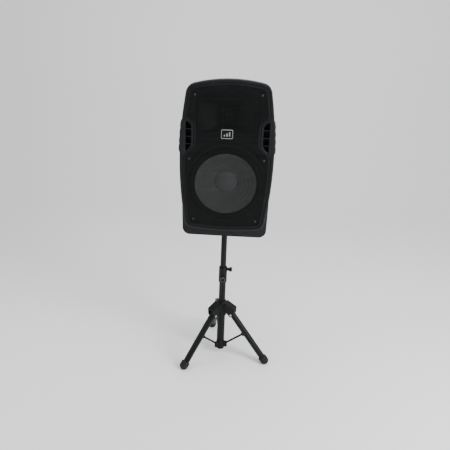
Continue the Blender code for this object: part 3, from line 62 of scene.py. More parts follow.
def soft_panel(name, place, aim, size, power):
    """Square light panel at a place, turned to its aim."""
    data = bpy.data.lights.new(name, "AREA")
    data.shape = "RECTANGLE"
    data.size, data.size_y = size
    data.energy = power
    panel = bpy.data.objects.new(name, data)
    panel.location = pole + Vector(place)
    panel.rotation_euler = (Vector(aim) - Vector(place)).to_track_quat("-Z", "Y").to_euler()
    bpy.context.collection.objects.link(panel)


soft_panel("key_panel", (2.4, -1.6, 2.2), (0.0, 0.0, 1.0), (1.2, 2.4), 120.0)
soft_panel("fill_panel", (-2.6, -1.2, 1.6), (0.0, 0.0, 0.9), (1.2, 2.4), 20.0)
soft_panel("top_panel", (0.0, -0.4, 3.6), (0.0, 0.0, 0.8), (2.4, 2.4), 55.0)

world = bpy.data.worlds.new("studio_air")
world.use_nodes = True
world.node_tree.nodes["Background"].inputs["Color"].default_value = (1.0, 1.0, 1.0, 1.0)
world.node_tree.nodes["Background"].inputs["Strength"].default_value = 0.70
bpy.context.scene.world = world

SWEEP_START = 2.2              # where the floor starts to rise, behind the object
SWEEP_RADIUS = 1.6
sweep_turns = [math.pi / 24 * k for k in range(1, 13)]
sweep_profile = [(-5.0, 0.0), (SWEEP_START, 0.0)]
sweep_profile += [(SWEEP_START + SWEEP_RADIUS * math.sin(a), SWEEP_RADIUS * (1.0 - math.cos(a)))
                  for a in sweep_turns]
sweep_profile += [(SWEEP_START + SWEEP_RADIUS, 6.0)]
sweep_mesh = bpy.data.meshes.new("studio_sweep")
sweep_points = [(x, y, z) for y, z in sweep_profile for x in (-7.0, 7.0)]
sweep_mesh.from_pydata(sweep_points, [], [(2 * k, 2 * k + 1, 2 * k + 3, 2 * k + 2)
                                          for k in range(len(sweep_profile) - 1)])
sweep_mesh.shade_smooth()
studio_sweep = bpy.data.objects.new("studio_sweep", sweep_mesh)
bpy.context.collection.objects.link(studio_sweep)
sweep_paint = bpy.data.materials.new("studio_paint")
sweep_paint.use_nodes = True
sweep_shader = sweep_paint.node_tree.nodes["Principled BSDF"]
sweep_shader.inputs["Base Color"].default_value = (0.93, 0.93, 0.93, 1.0)
sweep_shader.inputs["Roughness"].default_value = 0.9
sweep_mesh.materials.append(sweep_paint)

# ---------------------------------------------------------------- cabinet shells
# Two deep cups of injection-moulded black polypropylene with a fine leather grain, which meet at a parting
# line. The front one carries the bezel, stepped in behind its rim, and the baffle that the drivers bolt to.
WALL = 0.004
BEZEL_FRONT = -0.170
STEP_FRONT = BEZEL_FRONT + 0.040
STEP_BACK = STEP_FRONT + 0.012
BAFFLE_FRONT = BEZEL_FRONT + 0.015
PARTING = -0.045
BODY_MIDDLE = 0.060
BODY_BACK = 0.175
RIM_WIDTH = 0.0125
GRILLE_INSET = RIM_WIDTH + 0.0015
BASE_Z = 0.757
WOOFER_Z = 1.030
HORN_Z = 1.335


class Wire:
    """A socket in a node tree, worked on with Python's operators; make() adds any other node."""

    def __init__(self, tree, socket=None):
        self.tree = tree
        self.socket = socket

    def make(self, kind, settings, sockets, output=0):
        node = self.tree.nodes.new(kind)
        for name, value in settings.items():
            setattr(node, name, value)
        for key, value in sockets.items():
            if isinstance(value, Wire):
                self.tree.links.new(value.socket, node.inputs[key])
            else:
                node.inputs[key].default_value = value
        return Wire(self.tree, node.outputs[output])

    def maths(self, operation, first, second=0.0):
        return self.make("ShaderNodeMath", {"operation": operation}, {0: first, 1: second})

    def __add__(self, other):
        return self.maths("ADD", self, other)

    def __sub__(self, other):
        return self.maths("SUBTRACT", self, other)

    def __rsub__(self, other):
        return self.maths("SUBTRACT", other, self)

    def __mul__(self, other):
        return self.maths("MULTIPLY", self, other)

    def __truediv__(self, other):
        return self.maths("DIVIDE", self, other)

    __radd__ = __add__
    __rmul__ = __mul__

    def above(self, level, softness):
        """0 below the level and 1 above it, over a soft edge."""
        share = (self - (level - softness)) / (2.0 * softness)
        return self.make("ShaderNodeClamp", {}, {"Value": share})

    def between(self, first, second):
        """Colour that runs from the first to the second as this value runs from 0 to 1."""
        return self.make("ShaderNodeMix", {"data_type": "RGBA"}, {"Factor": self, "A": first, "B": second}, 2)


def noise(place, scale, detail=3.0, roughness=0.55):
    """Noise from 0 to 1 over Object coordinates; scale is in cells per metre."""
    return place.make("ShaderNodeTexNoise", {}, {"Vector": place, "Scale": scale, "Detail": detail,
                                                 "Roughness": roughness})


def stretched(place, x, y, z):
    """The coordinates, stretched so that a pattern grows long along one axis."""
    return place.make("ShaderNodeMapping", {}, {"Vector": place, "Scale": (x, y, z)})


class Finish:
    """One Principled material with the variation of a real finish: tone, gloss and grain."""

    def __init__(self, name, roughness, metallic=0.0, specular=0.16):
        self.material = bpy.data.materials.new(name)
        self.material.use_nodes = True
        self.tree = self.material.node_tree
        self.shader = self.tree.nodes["Principled BSDF"]
        self.shader.inputs["Metallic"].default_value = metallic
        self.shader.inputs["Roughness"].default_value = roughness
        self.shader.inputs["Specular IOR Level"].default_value = specular
        self.place = Wire(self.tree).make("ShaderNodeTexCoord", {}, {}, "Object")

    def feed(self, socket, wire):
        self.tree.links.new(wire.socket, self.shader.inputs[socket])

    def tone(self, dark, light, mask):
        self.feed("Base Color", mask.between((*dark, 1.0), (*light, 1.0)))

    def gloss(self, low, high, mask):
        self.feed("Roughness", low + mask * (high - low))

    def relief(self, height, depth):
        """Bump from a height of 0 to 1, as deep as the depth in metres."""
        bump = height.make("ShaderNodeBump", {}, {"Strength": 1.0, "Distance": depth, "Height": height})
        self.feed("Normal", bump)


def moulded(name, dark, light, roughness, grain_scale, grain_depth):
    """Moulded plastic: a pebbled grain, a little cloudiness and a faint film of dust."""
    finish = Finish(name, roughness)
    cells = finish.place.make("ShaderNodeTexVoronoi", {"feature": "SMOOTH_F1"},
                              {"Vector": finish.place, "Scale": grain_scale, "Smoothness": 0.4})
    grain = cells * 0.7 + noise(finish.place, 2.3 * grain_scale, 2.0) * 0.5
    cloud = noise(finish.place, 9.0, 4.0)
    dust = noise(finish.place, 60.0, 6.0, 0.7).above(0.60, 0.12)
    finish.tone(dark, light, cloud * 0.7 + dust * 0.3)
    finish.gloss(roughness - 0.06, roughness + 0.10, cloud * 0.6 + dust * 0.4)
    finish.relief(grain, grain_depth)
    return finish.material


cabinet_plastic = moulded("cabinet_plastic", (0.0050, 0.0062, 0.0072), (0.0100, 0.0118, 0.0132), 0.42, 900.0,
                          0.00010)


def link_mesh(name, shape, angle=35.0):
    """Makes an object of a bmesh, shaded smooth but for its sharp edges."""
    bmesh.ops.recalc_face_normals(shape, faces=shape.faces)
    mesh = bpy.data.meshes.new(name)
    shape.to_mesh(mesh)
    shape.free()
    mesh.shade_smooth()
    mesh.set_sharp_from_angle(angle=math.radians(angle))
    made = bpy.data.objects.new(name, mesh)
    bpy.context.collection.objects.link(made)
    return made


def skin(shape, loops, closed):
    """Quads between neighbouring loops; closed joins the last loop to the first."""
    count = len(loops[0])
    pairs = list(zip(loops, loops[1:]))
    if closed:
        pairs.append((loops[-1], loops[0]))
    for lower, upper in pairs:
        for i in range(count):
            j = (i + 1) % count
            shape.faces.new((lower[i], lower[j], upper[j], upper[i]))


def cap(shape, loop):
    """Closes a flat outline, which may be notched."""
    face = shape.faces.new(loop)
    face.normal_update()
    bmesh.ops.triangulate(shape, faces=[face], ngon_method="EAR_CLIP")


def lofted(name, rings, closed=False, angle=35.0):
    """Solid through rings of equal count, capped unless the rings close on themselves."""
    shape = bmesh.new()
    loops = [[shape.verts.new(point) for point in ring] for ring in rings]
    skin(shape, loops, closed)
    if not closed:
        cap(shape, loops[0])
        cap(shape, loops[-1])
    return link_mesh(name, shape, angle)


def arc(centre, radius, start, end, steps):
    """Points of an arc in degrees, both ends included."""
    angles = [math.radians(start + (end - start) * k / steps) for k in range(steps + 1)]
    return [(centre[0] + radius * math.cos(a), centre[1] + radius * math.sin(a)) for a in angles]


class Section:
    """Cabinet outline at one depth: side, top and bottom arcs joined by round corners."""

    def __init__(self, half_width, widest, top, bottom, side, top_arc, bottom_arc, corners):
        self.side = (Vector((half_width - side, widest)), side)
        self.top = (Vector((0.0, top - top_arc)), top_arc)
        self.bottom = (Vector((0.0, bottom + bottom_arc)), bottom_arc)
        self.corners = corners


def meeting_point(first, second, corner, upward):
    """Centre of the corner arc that touches two outline arcs from inside."""
    (a, ra), (b, rb) = first, second
    ra -= corner
    rb -= corner
    span = b - a
    distance = span.length
    along = (ra * ra - rb * rb + distance * distance) / (2.0 * distance)
    across = math.sqrt(ra * ra - along * along)
    middle = a + span * (along / distance)
    square = Vector((-span.y, span.x)) / distance * across
    choices = sorted((middle + square, middle - square), key=lambda p: p.y)
    return choices[1] if upward else choices[0]


def direction(start, end):
    """Angle in degrees from one point to another."""
    return math.degrees(math.atan2(end.y - start.y, end.x - start.x))


NOTCH_BOTTOM, NOTCH_FLAT_BOTTOM, NOTCH_FLAT_TOP, NOTCH_TOP = 1.150, 1.215, 1.290, 1.355
NOTCH_WAIST, NOTCH_DEPTH = 0.146, 0.0475


def notch_edge(z, inset):
    """Half-width of the notched outline at height z."""
    rise = (z - NOTCH_BOTTOM) / (NOTCH_FLAT_BOTTOM - NOTCH_BOTTOM)
    fall = (NOTCH_TOP - z) / (NOTCH_TOP - NOTCH_FLAT_TOP)
    t = max(0.0, min(1.0, rise, fall))
    smooth = t * t * (3.0 - 2.0 * t)
    return NOTCH_WAIST + NOTCH_DEPTH * (1.0 - smooth) + GRILLE_INSET - inset


def side_width(section, inset, z):
    """Half-width of the side arc at height z."""
    centre, radius = section.side
    return centre.x + math.sqrt((radius - inset) ** 2 - (z - centre.y) ** 2)


def spread(low, high, steps):
    """Evenly spaced values, both ends included."""
    return [low + (high - low) * k / steps for k in range(steps + 1)]


def outline(section, inset=0.0, notched=False):
    """Closed outline (x, z), from the bottom middle round by +X; inset runs parallel inside."""
    top_corner, bottom_corner = section.corners
    low = meeting_point(section.side, section.bottom, bottom_corner, upward=False)
    high = meeting_point(section.side, section.top, top_corner, upward=True)
    bottom_end = direction(section.bottom[0], low)
    low_end = direction(section.side[0], low)
    high_start = direction(section.side[0], high)
    top_start = direction(section.top[0], high)
    points = arc(section.bottom[0], section.bottom[1] - inset, -90.0, bottom_end, 6)[1:-1]
    points += arc(low, bottom_corner - inset, bottom_end, low_end, 12)
    end = arc(high, top_corner - inset, high_start, top_start, 12)
    levels = spread(points[-1][1], NOTCH_BOTTOM, 6)[1:-1] + spread(NOTCH_BOTTOM, NOTCH_FLAT_BOTTOM, 12)
    levels += spread(NOTCH_FLAT_TOP, NOTCH_TOP, 12) + spread(NOTCH_TOP, end[0][1], 3)[1:-1]
    for z in levels:
        x = side_width(section, inset, z)
        if notched:
            x = min(x, notch_edge(z, inset))
        points.append((x, z))
    points += end
    points += arc(section.top[0], section.top[1] - inset, top_start, 90.0, 10)[1:-1]
    top_middle = (0.0, section.top[0].y + section.top[1] - inset)
    bottom_middle = (0.0, section.bottom[0].y - section.bottom[1] + inset)
    mirrored = [(-x, z) for x, z in reversed(points)]
    return [bottom_middle] + points + [top_middle] + mirrored


def ring(section, y, inset=0.0, notched=False):
    """Outline of a section placed at depth y behind or before the pole."""
    return [pole + Vector((x, y, z)) for x, z in outline(section, inset, notched)]


def body_section(y):
    """Body outline at depth y, on a smooth curve through its front, middle and rear widths."""
    depths = (PARTING, BODY_MIDDLE, BODY_BACK)
    shares = []
    for k, own in enumerate(depths):
        others = [other for j, other in enumerate(depths) if j != k]
        shares.append(math.prod((y - other) / (own - other) for other in others))
    half_width = sum(s * w for s, w in zip(shares, (0.2030, 0.1900, 0.1560)))
    top = sum(s * t for s, t in zip(shares, (1.4780, 1.4600, 1.4320)))
    return Section(half_width, 0.950, top, BASE_Z, 4.50, 0.637, 20.0, (0.050, 0.035))


def cup(name, outside, inside):
    """Shell: outside rings run to the closed end, inside rings run back to the mouth."""
    shape = bmesh.new()
    loops = [[shape.verts.new(point) for point in points] for points in outside + inside]
    closed_end = len(outside)
    skin(shape, loops[:closed_end], False)
    skin(shape, loops[closed_end:] + loops[:1], False)
    cap(shape, loops[closed_end - 1])
    cap(shape, loops[closed_end])
    return link_mesh(name, shape)


def finished(made, *cutters):
    """Applies cutters and any other modifiers, and leaves a plain mesh."""
    for cutter in cutters:
        step = made.modifiers.new(cutter.name, "BOOLEAN")
        step.operation = "DIFFERENCE"
        step.object = cutter
        step.solver = "EXACT"
    mesh = bpy.data.meshes.new_from_object(made.evaluated_get(bpy.context.evaluated_depsgraph_get()))
    made.modifiers.clear()
    made.data = mesh
    for cutter in cutters:
        bpy.data.objects.remove(cutter)
    return made


def fit(made, body, slot, material, *nodes):
    """Gives a finished piece its material, its body and the CAD nodes that it stands for."""
    made.data.materials.clear()
    made.data.materials.append(material)
    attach(made, body)
    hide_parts(*nodes)
    return made


def turned(name, profile, place, facets=64, angle=35.0):
    """Solid of revolution about the place's Z; radius 0 lies on the axis."""
    shape = bmesh.new()
    rings = []
    for radius, height in profile:
        if radius == 0.0:
            rings.append([shape.verts.new(place @ Vector((0.0, 0.0, height)))])
            continue
        points = [(radius * math.cos(a), radius * math.sin(a), height)
                  for a in (math.tau * k / facets for k in range(facets))]
        rings.append([shape.verts.new(place @ Vector(point)) for point in points])
    pairs = list(zip(rings, rings[1:]))
    if profile[0][0] != 0.0:
        pairs.append((rings[-1], rings[0]))
    for lower, upper in pairs:
        for k in range(facets):
            m = (k + 1) % facets
            if len(lower) == 1 and len(upper) > 1:
                shape.faces.new((lower[0], upper[m], upper[k]))
            elif len(upper) == 1 and len(lower) > 1:
                shape.faces.new((lower[k], lower[m], upper[0]))
            elif len(lower) > 1:
                shape.faces.new((lower[k], lower[m], upper[m], upper[k]))
    return link_mesh(name, shape, angle)


def facing_front(x, y, z):
    """Place whose local Z points out of the front."""
    return Matrix.Translation(pole + Vector((x, y, z))) @ Matrix.Rotation(math.pi / 2, 4, "X")


def facing_back(x, y, z):
    """Place whose local Z points out of the back."""
    return Matrix.Translation(pole + Vector((x, y, z))) @ Matrix.Rotation(-math.pi / 2, 4, "X")


def rounded_rectangle(half_width, half_height, corner, steps=8):
    """Closed outline with round corners."""
    points = []
    for sx, sy, start in ((1, 1, 0), (-1, 1, 90), (-1, -1, 180), (1, -1, 270)):
        centre = (sx * (half_width - corner), sy * (half_height - corner))
        points += arc(centre, corner, start, start + 90, steps)
    return points


def prism(name, points, low, high, place, angle=35.0):
    """Outline (x, y) of a place, run along its local Z."""
    rings = [[place @ Vector((x, y, z)) for x, y in points] for z in (low, high)]
    return lofted(name, rings, angle=angle)


BEZEL = Section(0.2100, 1.137, 1.4930, 0.8043, 1.72, 0.637, 1.20, (0.045, 0.040))
BODY_FRONT = Section(0.2030, 0.950, 1.4860, BASE_Z, 4.50, 0.637, 20.0, (0.050, 0.035))
SEAM = 0.0012                  # depth and half-width of the groove at the parting line
SEAM_GAP = 0.0002              # from each shell's edge to the parting plane
ROUNDING = 0.005               # outer edge of the bezel
edge_steps = [math.radians(90 * k / 5) for k in range(6)]
seam_section = body_section(PARTING)
front_outside = [ring(seam_section, PARTING - SEAM_GAP, SEAM), ring(seam_section, PARTING - SEAM),
                 ring(BODY_FRONT, STEP_BACK), ring(BODY_FRONT, STEP_BACK - 0.002, 0.0006),
                 ring(BEZEL, STEP_FRONT + 0.002, 0.0012), ring(BEZEL, STEP_FRONT)]
front_outside += [ring(BEZEL, BEZEL_FRONT + ROUNDING * (1.0 - math.sin(a)), ROUNDING * (1.0 - math.cos(a)))
                  for a in edge_steps]
front_outside += [ring(BEZEL, BEZEL_FRONT, RIM_WIDTH - 0.0015, True),
                  ring(BEZEL, BEZEL_FRONT + 0.0005, RIM_WIDTH - 0.0005, True),
                  ring(BEZEL, BEZEL_FRONT + 0.0015, RIM_WIDTH, True),
                  ring(BEZEL, BAFFLE_FRONT, RIM_WIDTH, True)]
front_inside = [ring(BEZEL, BAFFLE_FRONT + WALL, RIM_WIDTH + 2.5 * WALL),
                ring(BEZEL, STEP_FRONT + WALL, RIM_WIDTH + 2.5 * WALL),
                ring(BODY_FRONT, STEP_BACK + 1.5 * WALL, WALL),
                ring(seam_section, PARTING - SEAM_GAP, WALL)]
front_shell = cup("front_shell_moulding", front_outside, front_inside)
woofer_opening = turned("woofer_opening", [(0.0, -0.02), (0.172, -0.02), (0.172, 0.01), (0.0, 0.01)],
                        facing_front(0.0, BAFFLE_FRONT, WOOFER_Z), 96)
horn_opening = prism("horn_opening", rounded_rectangle(0.124, 0.072, 0.020), -0.02, 0.01,
                     facing_front(0.0, BAFFLE_FRONT, HORN_Z))

HANDLE_LIP = 0.0055            # bezel left between the notch and the handle insert
HANDLE_GAP = 0.0003            # between the insert and the recess
handle_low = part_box("handle_left")[0].z - HANDLE_GAP
handle_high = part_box("handle_left")[1].z + HANDLE_GAP
recess_back = BEZEL_FRONT + 0.042 + HANDLE_GAP


def recess_edge(z):
    """Inner edge of the handle recess at height z: it runs beside the notch."""
    return notch_edge(z, RIM_WIDTH) + HANDLE_LIP


recess_cutters = []
for side in (-1, 1):
    edge = [(side * recess_edge(z), z) for z in spread(handle_low, handle_high, 40)]
    points = [(side * 0.26, handle_low)] + edge + [(side * 0.26, handle_high)]
    rings = [[pole + Vector((x, y, z)) for x, z in points] for y in (BEZEL_FRONT - 0.02, recess_back)]
    recess_cutters.append(lofted(f"recess_{side}", rings))
finished(front_shell, woofer_opening, horn_opening, *recess_cutters)
fit(front_shell, "cabinet", "cabinet_plastic", cabinet_plastic, "front_shell")

BACK_ROUNDING = 0.012
depths = spread(PARTING + SEAM, BODY_BACK - BACK_ROUNDING, 10)
back_edge = BODY_BACK - BACK_ROUNDING
back_section = body_section(back_edge)
rear_outside = [ring(seam_section, PARTING + SEAM_GAP, SEAM)] + [ring(body_section(y), y) for y in depths]
rear_outside += [ring(back_section, BODY_BACK - BACK_ROUNDING * (1.0 - math.sin(a)),
                      BACK_ROUNDING * (1.0 - math.cos(a))) for a in edge_steps[1:]]
rear_inside = [ring(back_section, BODY_BACK - WALL, BACK_ROUNDING), ring(back_section, back_edge, 1.5 * WALL),
               ring(body_section(BODY_MIDDLE), BODY_MIDDLE, 1.5 * WALL),
               ring(seam_section, PARTING + SEAM_GAP, WALL)]
rear_shell = cup("rear_shell_moulding", rear_outside, rear_inside)
panel_low, panel_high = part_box("amp_panel")
PANEL_LIP = 0.010
panel_middle = (panel_low + panel_high) / 2 - pole
panel_opening = prism("panel_opening", rounded_rectangle((panel_high.x - panel_low.x) / 2 - PANEL_LIP,
                                                         (panel_high.z - panel_low.z) / 2 - PANEL_LIP, 0.006),
                      -0.02, 0.02, facing_back(0.0, BODY_BACK, panel_middle.z))
SOCKET_OPENING = 0.0236        # radius of the hole in the cabinet's underside
socket_opening = turned("socket_opening", [
    (0.0, BASE_Z - 0.02), (SOCKET_OPENING, BASE_Z - 0.02), (SOCKET_OPENING, BASE_Z + 0.02),
    (0.0, BASE_Z + 0.02)], Matrix.Translation(pole))
finished(rear_shell, panel_opening, socket_opening)
fit(rear_shell, "cabinet", "cabinet_plastic", cabinet_plastic, "rear_shell")

# ---------------------------------------------------------------- woofer
# A 15 inch driver screwed to the baffle from the front: cast alloy basket, ferrite magnet, pressed paper cone
# with raised rings, a half-roll rubber surround glued round it and a paper dust cap over the voice coil.
woofer_place = facing_front(0.0, BAFFLE_FRONT, WOOFER_Z)
CONE_EDGE = 0.1403
CONE_TOP = 0.0030
CONE_DEPTH = 0.0550
CONE_NECK = 0.0278
CONE_RIBS = 7
CAP_RADIUS = 0.050
CAP_HEIGHT = 0.015


def pressed_paper(name, dark, light, roughness):
    """Paper pulp: short fibres that lie every way, and a soft matt surface."""
    finish = Finish(name, roughness)
    fibres = noise(stretched(finish.place, 1.0, 0.25, 3.0), 500.0, 5.0, 0.65)
    crossing = noise(stretched(finish.place, 3.0, 0.25, 1.0), 420.0, 5.0, 0.65)
    finish.tone(dark, light, fibres * 0.5 + crossing * 0.5)
    finish.gloss(roughness - 0.08, roughness + 0.08, fibres)
    finish.relief(fibres * 0.5 + crossing * 0.5, 0.00015)
    return finish.material


def rubber(name, dark, light, scale):
    """Matt rubber: scuffed lighter in patches, with a fine bloom."""
    finish = Finish(name, 0.80)
    scuffs = noise(finish.place, scale, 5.0, 0.7).above(0.55, 0.15)
    bloom = noise(finish.place, 700.0, 2.0)
    finish.tone(dark, light, scuffs * 0.7 + bloom * 0.3)
    finish.gloss(0.70, 0.92, scuffs)
    finish.relief(bloom, 0.00008)
    return finish.material


cone_paper = pressed_paper("cone_paper", (0.120, 0.123, 0.125), (0.210, 0.213, 0.215), 0.82)
# Painted highlight: the dust cap's paper is toned lighter than the cone's so that it stands for the spot of
# light on its dome. Its lower roughness is the real sheen of the paper.
cap_paper_painted_highlight = pressed_paper("dust_cap_paper", (0.150, 0.153, 0.157), (0.230, 0.234, 0.240), 0.40)
surround_rubber = rubber("surround_rubber", (0.0045, 0.0045, 0.0045), (0.0090, 0.0090, 0.0090), 40.0)


def cone_height(radius):
    """Straight slope of the cone, with raised rings that die out at its edge and its neck."""
    share = (radius - CONE_NECK) / (CONE_EDGE - CONE_NECK)
    rib = 0.0009 * math.cos(math.tau * CONE_RIBS * share) * math.sin(math.pi * share)
    return CONE_TOP - CONE_DEPTH * (1.0 - share) + rib


cone_radii = spread(CONE_EDGE, CONE_NECK, 96)
cone_profile = [(r, cone_height(r)) for r in cone_radii] + [(r, cone_height(r) - 0.0012)
                                                            for r in reversed(cone_radii)]
fit(turned("cone", cone_profile, woofer_place, 128, 60.0), "cone", "cone_paper", cone_paper, "woofer_cone")

cap_base = cone_height(CAP_RADIUS) + 0.0006
cap_profile = [(CAP_RADIUS * math.sin(a), cap_base + 0.0012 + CAP_HEIGHT * math.cos(a))
               for a in (math.pi / 2 * k / 20 for k in range(21))]
cap_profile[0] = (0.0, cap_base + 0.0012 + CAP_HEIGHT)
cap_profile += [(CAP_RADIUS + 0.002, cap_base + 0.0006), (CAP_RADIUS + 0.002, cap_base), (0.0, cap_base)]
fit(turned("dust_cap_dome", cap_profile, woofer_place, 96), "cone", "cone_paper", cap_paper_painted_highlight, "dust_cap")

ROLL_MIDDLE = 0.1561
ROLL_HALF = 0.0125
roll_profile = [(0.1716, 0.0018), (0.1716, 0.0030)]
roll_profile += [(ROLL_MIDDLE + ROLL_HALF * math.cos(a), 0.0030 + 0.008 * math.sin(a))
                 for a in (math.pi * k / 16 for k in range(17))]
roll_profile += [(0.1406, 0.0030), (0.1406, 0.0018)]
roll_profile += [(ROLL_MIDDLE + (ROLL_HALF - 0.0012) * math.cos(a), 0.0018 + 0.008 * math.sin(a))
                 for a in (math.pi * k / 16 for k in range(16, -1, -1))]
fit(turned("surround_roll", roll_profile, woofer_place, 128), "cabinet", "surround_rubber", surround_rubber,
    "woofer_surround")

SPIDER_WAVES = 6
SPIDER_STEPS = 48
spider_rings = [(0.0290 + 0.0660 * k / SPIDER_STEPS,
                 -0.0645 + 0.0016 * math.sin(math.tau * SPIDER_WAVES * k / SPIDER_STEPS))
                for k in range(SPIDER_STEPS + 1)]
spider_profile = spider_rings + [(r, h - 0.0006) for r, h in reversed(spider_rings)]
spider = turned("spider_disc", spider_profile, woofer_place, 96, 60.0)
fit(spider, "cabinet", "surround_rubber", surround_rubber, "spider")


def refined(node, edge, segments=2, angle=30.0):
    """Copy of a CAD node with its faces merged and its sharp edges rounded."""
    shape = bmesh.new()
    shape.from_mesh(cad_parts[node].data)
    bmesh.ops.remove_doubles(shape, verts=shape.verts, dist=0.00002)
    bmesh.ops.dissolve_limit(shape, angle_limit=math.radians(1.0), verts=shape.verts, edges=shape.edges)
    made = link_mesh(f"{node}_made", shape, angle)
    bevel = made.modifiers.new("edge", "BEVEL")
    bevel.width = edge
    bevel.segments = segments
    bevel.limit_method = "ANGLE"
    bevel.angle_limit = math.radians(angle)
    bevel.harden_normals = True
    return finished(made)


def cast_metal(name, dark, light, roughness, metallic, scale, depth):
    """Cast or pressed metal under thin paint: a pebbled skin with duller patches."""
    finish = Finish(name, roughness, metallic)
    skin_grain = noise(finish.place, scale, 3.0)
    patches = noise(finish.place, 22.0, 4.0)
    finish.tone(dark, light, patches * 0.6 + skin_grain * 0.4)
    finish.gloss(roughness - 0.08, roughness + 0.12, patches)
    finish.relief(skin_grain, depth)
    return finish.material


basket_alloy = cast_metal("basket_alloy", (0.008, 0.008, 0.008), (0.014, 0.014, 0.014), 0.50, 0.1, 500.0,
                          0.0001)
ferrite = cast_metal("ferrite", (0.022, 0.022, 0.024), (0.040, 0.040, 0.043), 0.60, 0.2, 300.0, 0.0002)
winding = cast_metal("transformer_core", (0.22, 0.11, 0.035), (0.38, 0.20, 0.07), 0.45, 0.6, 900.0, 0.0001)
fit(refined("woofer_basket", 0.0008), "cabinet", "basket_alloy", basket_alloy, "woofer_basket")
fit(refined("woofer_magnet", 0.0020), "cabinet", "ferrite", ferrite, "woofer_magnet")
fit(refined("voice_coil", 0.0003), "cone", "transformer_core", winding, "voice_coil")

# ---------------------------------------------------------------- horn and compression driver
# A wide flare moulded in black ABS, flanged onto the baffle above the woofer. Upright bars guard its throat,
# and the ferrite-backed compression driver screws onto the back of it.
horn_place = facing_front(0.0, BAFFLE_FRONT, HORN_Z)
HORN_DEPTH = 0.082
THROAT = 0.0130
MOUTH_HALF_WIDTH = 0.120
MOUTH_HALF_HEIGHT = 0.068
horn_plastic = moulded("horn_plastic", (0.0035, 0.0035, 0.0040), (0.0065, 0.0065, 0.0070), 0.42, 1500.0,
                       0.00003)


def horn_ring(half_width, half_height, corner, depth):
    """Rounded outline of the horn at one depth."""
    return [horn_place @ Vector((x, y, depth)) for x, y in rounded_rectangle(half_width, half_height, corner)]


def flare_ring(share, outside):
    """Ring of the flare's skin at a share of its depth; outside adds the wall."""
    left = 1.0 - share
    half_width = THROAT + (MOUTH_HALF_WIDTH - THROAT) * left ** 1.9 + outside
    half_height = THROAT + (MOUTH_HALF_HEIGHT - THROAT) * left ** 0.9 + outside
    corner = min(0.017 + outside, 0.99 * min(half_width, half_height))
    return horn_ring(half_width, half_height, corner, -share * HORN_DEPTH - 0.3 * outside)


horn_rings = [horn_ring(0.134, 0.082, 0.020, 0.0003), horn_ring(0.134, 0.082, 0.020, 0.0044),
              horn_ring(0.1334, 0.0814, 0.0194, 0.0050), horn_ring(0.122, 0.070, 0.019, 0.0050),
              horn_ring(0.1206, 0.0686, 0.0176, 0.0040)]
horn_rings += [flare_ring(share, 0.0) for share in spread(0.0, 1.0, 14)]
horn_rings += [flare_ring(share, 0.003) for share in spread(1.0, 0.0, 14)]
horn = lofted("horn_moulding", horn_rings, closed=True)
throat_bars = [prism(f"throat_bar_{k}", rounded_rectangle(0.0014, 0.036, 0.0013, 3), -0.045, -0.012,
                     horn_place @ Matrix.Translation((0.011 * (k - 2), 0.0, 0.0))) for k in range(5)]


def joined(name, first, *others):
    """One mesh out of several pieces of one moulding."""
    shape = bmesh.new()
    for piece in (first, *others):
        shape.from_mesh(piece.data)
        bpy.data.objects.remove(piece)
    mesh = bpy.data.meshes.new(name)
    shape.to_mesh(mesh)
    shape.free()
    made = bpy.data.objects.new(name, mesh)
    bpy.context.collection.objects.link(made)
    return made


fit(joined("horn_with_bars", horn, *throat_bars), "cabinet", "horn_plastic", horn_plastic, "horn_flare")
fit(refined("compression_driver", 0.0015), "cabinet", "ferrite", ferrite, "compression_driver")

# ---------------------------------------------------------------- grille
# Perforated steel, powder coated satin black, with its edge folded back round the whole outline. It drops
# into the bezel's recess in front of both drivers and is held by six screws.
GRILLE_FRONT = BEZEL_FRONT - 0.0005
BORDER = 0.009
PITCH = 0.0060
HOLE = 0.0044                  # across the flats of one opening
grille_finish = Finish("grille_steel", 0.50, 0.1)
peel = noise(grille_finish.place, 1200.0, 2.0)
settled_dust = noise(grille_finish.place, 14.0, 5.0, 0.6)
grille_finish.tone((0.0040, 0.0044, 0.0048), (0.0085, 0.0090, 0.0095), settled_dust * 0.8 + peel * 0.2)
grille_finish.gloss(0.42, 0.62, settled_dust)
grille_finish.relief(peel, 0.00004)
grille_steel = grille_finish.material

SHEET = 0.0012
cell_shape = bmesh.new()
cell_loops = []
corners = [math.tau * (k + 0.5) / 6 for k in range(6)]
for flats, y in ((PITCH, 0.0), (HOLE, 0.0), (HOLE, SHEET)):
    radius = flats / math.sqrt(3.0)
    cell_loops.append([cell_shape.verts.new((radius * math.cos(a), y, radius * math.sin(a)))
                       for a in corners])
for outer, inner in zip(cell_loops, cell_loops[1:]):
    for k in range(6):
        m = (k + 1) % 6
        cell_shape.faces.new((outer[k], outer[m], inner[m], inner[k]))
cell_mesh = bpy.data.meshes.new("grille_cell")
cell_shape.to_mesh(cell_mesh)
cell_shape.free()
cell = bpy.data.objects.new("grille_cell", cell_mesh)
bpy.context.collection.objects.link(cell)
KEPT_CELLS = GRILLE_INSET + 0.0062  # cells are kept whose middles lie inside this inset
edge_plate = lofted("grille_edge_plate", [ring(BEZEL, y, KEPT_CELLS, True) for y in (-0.16, -0.15)])


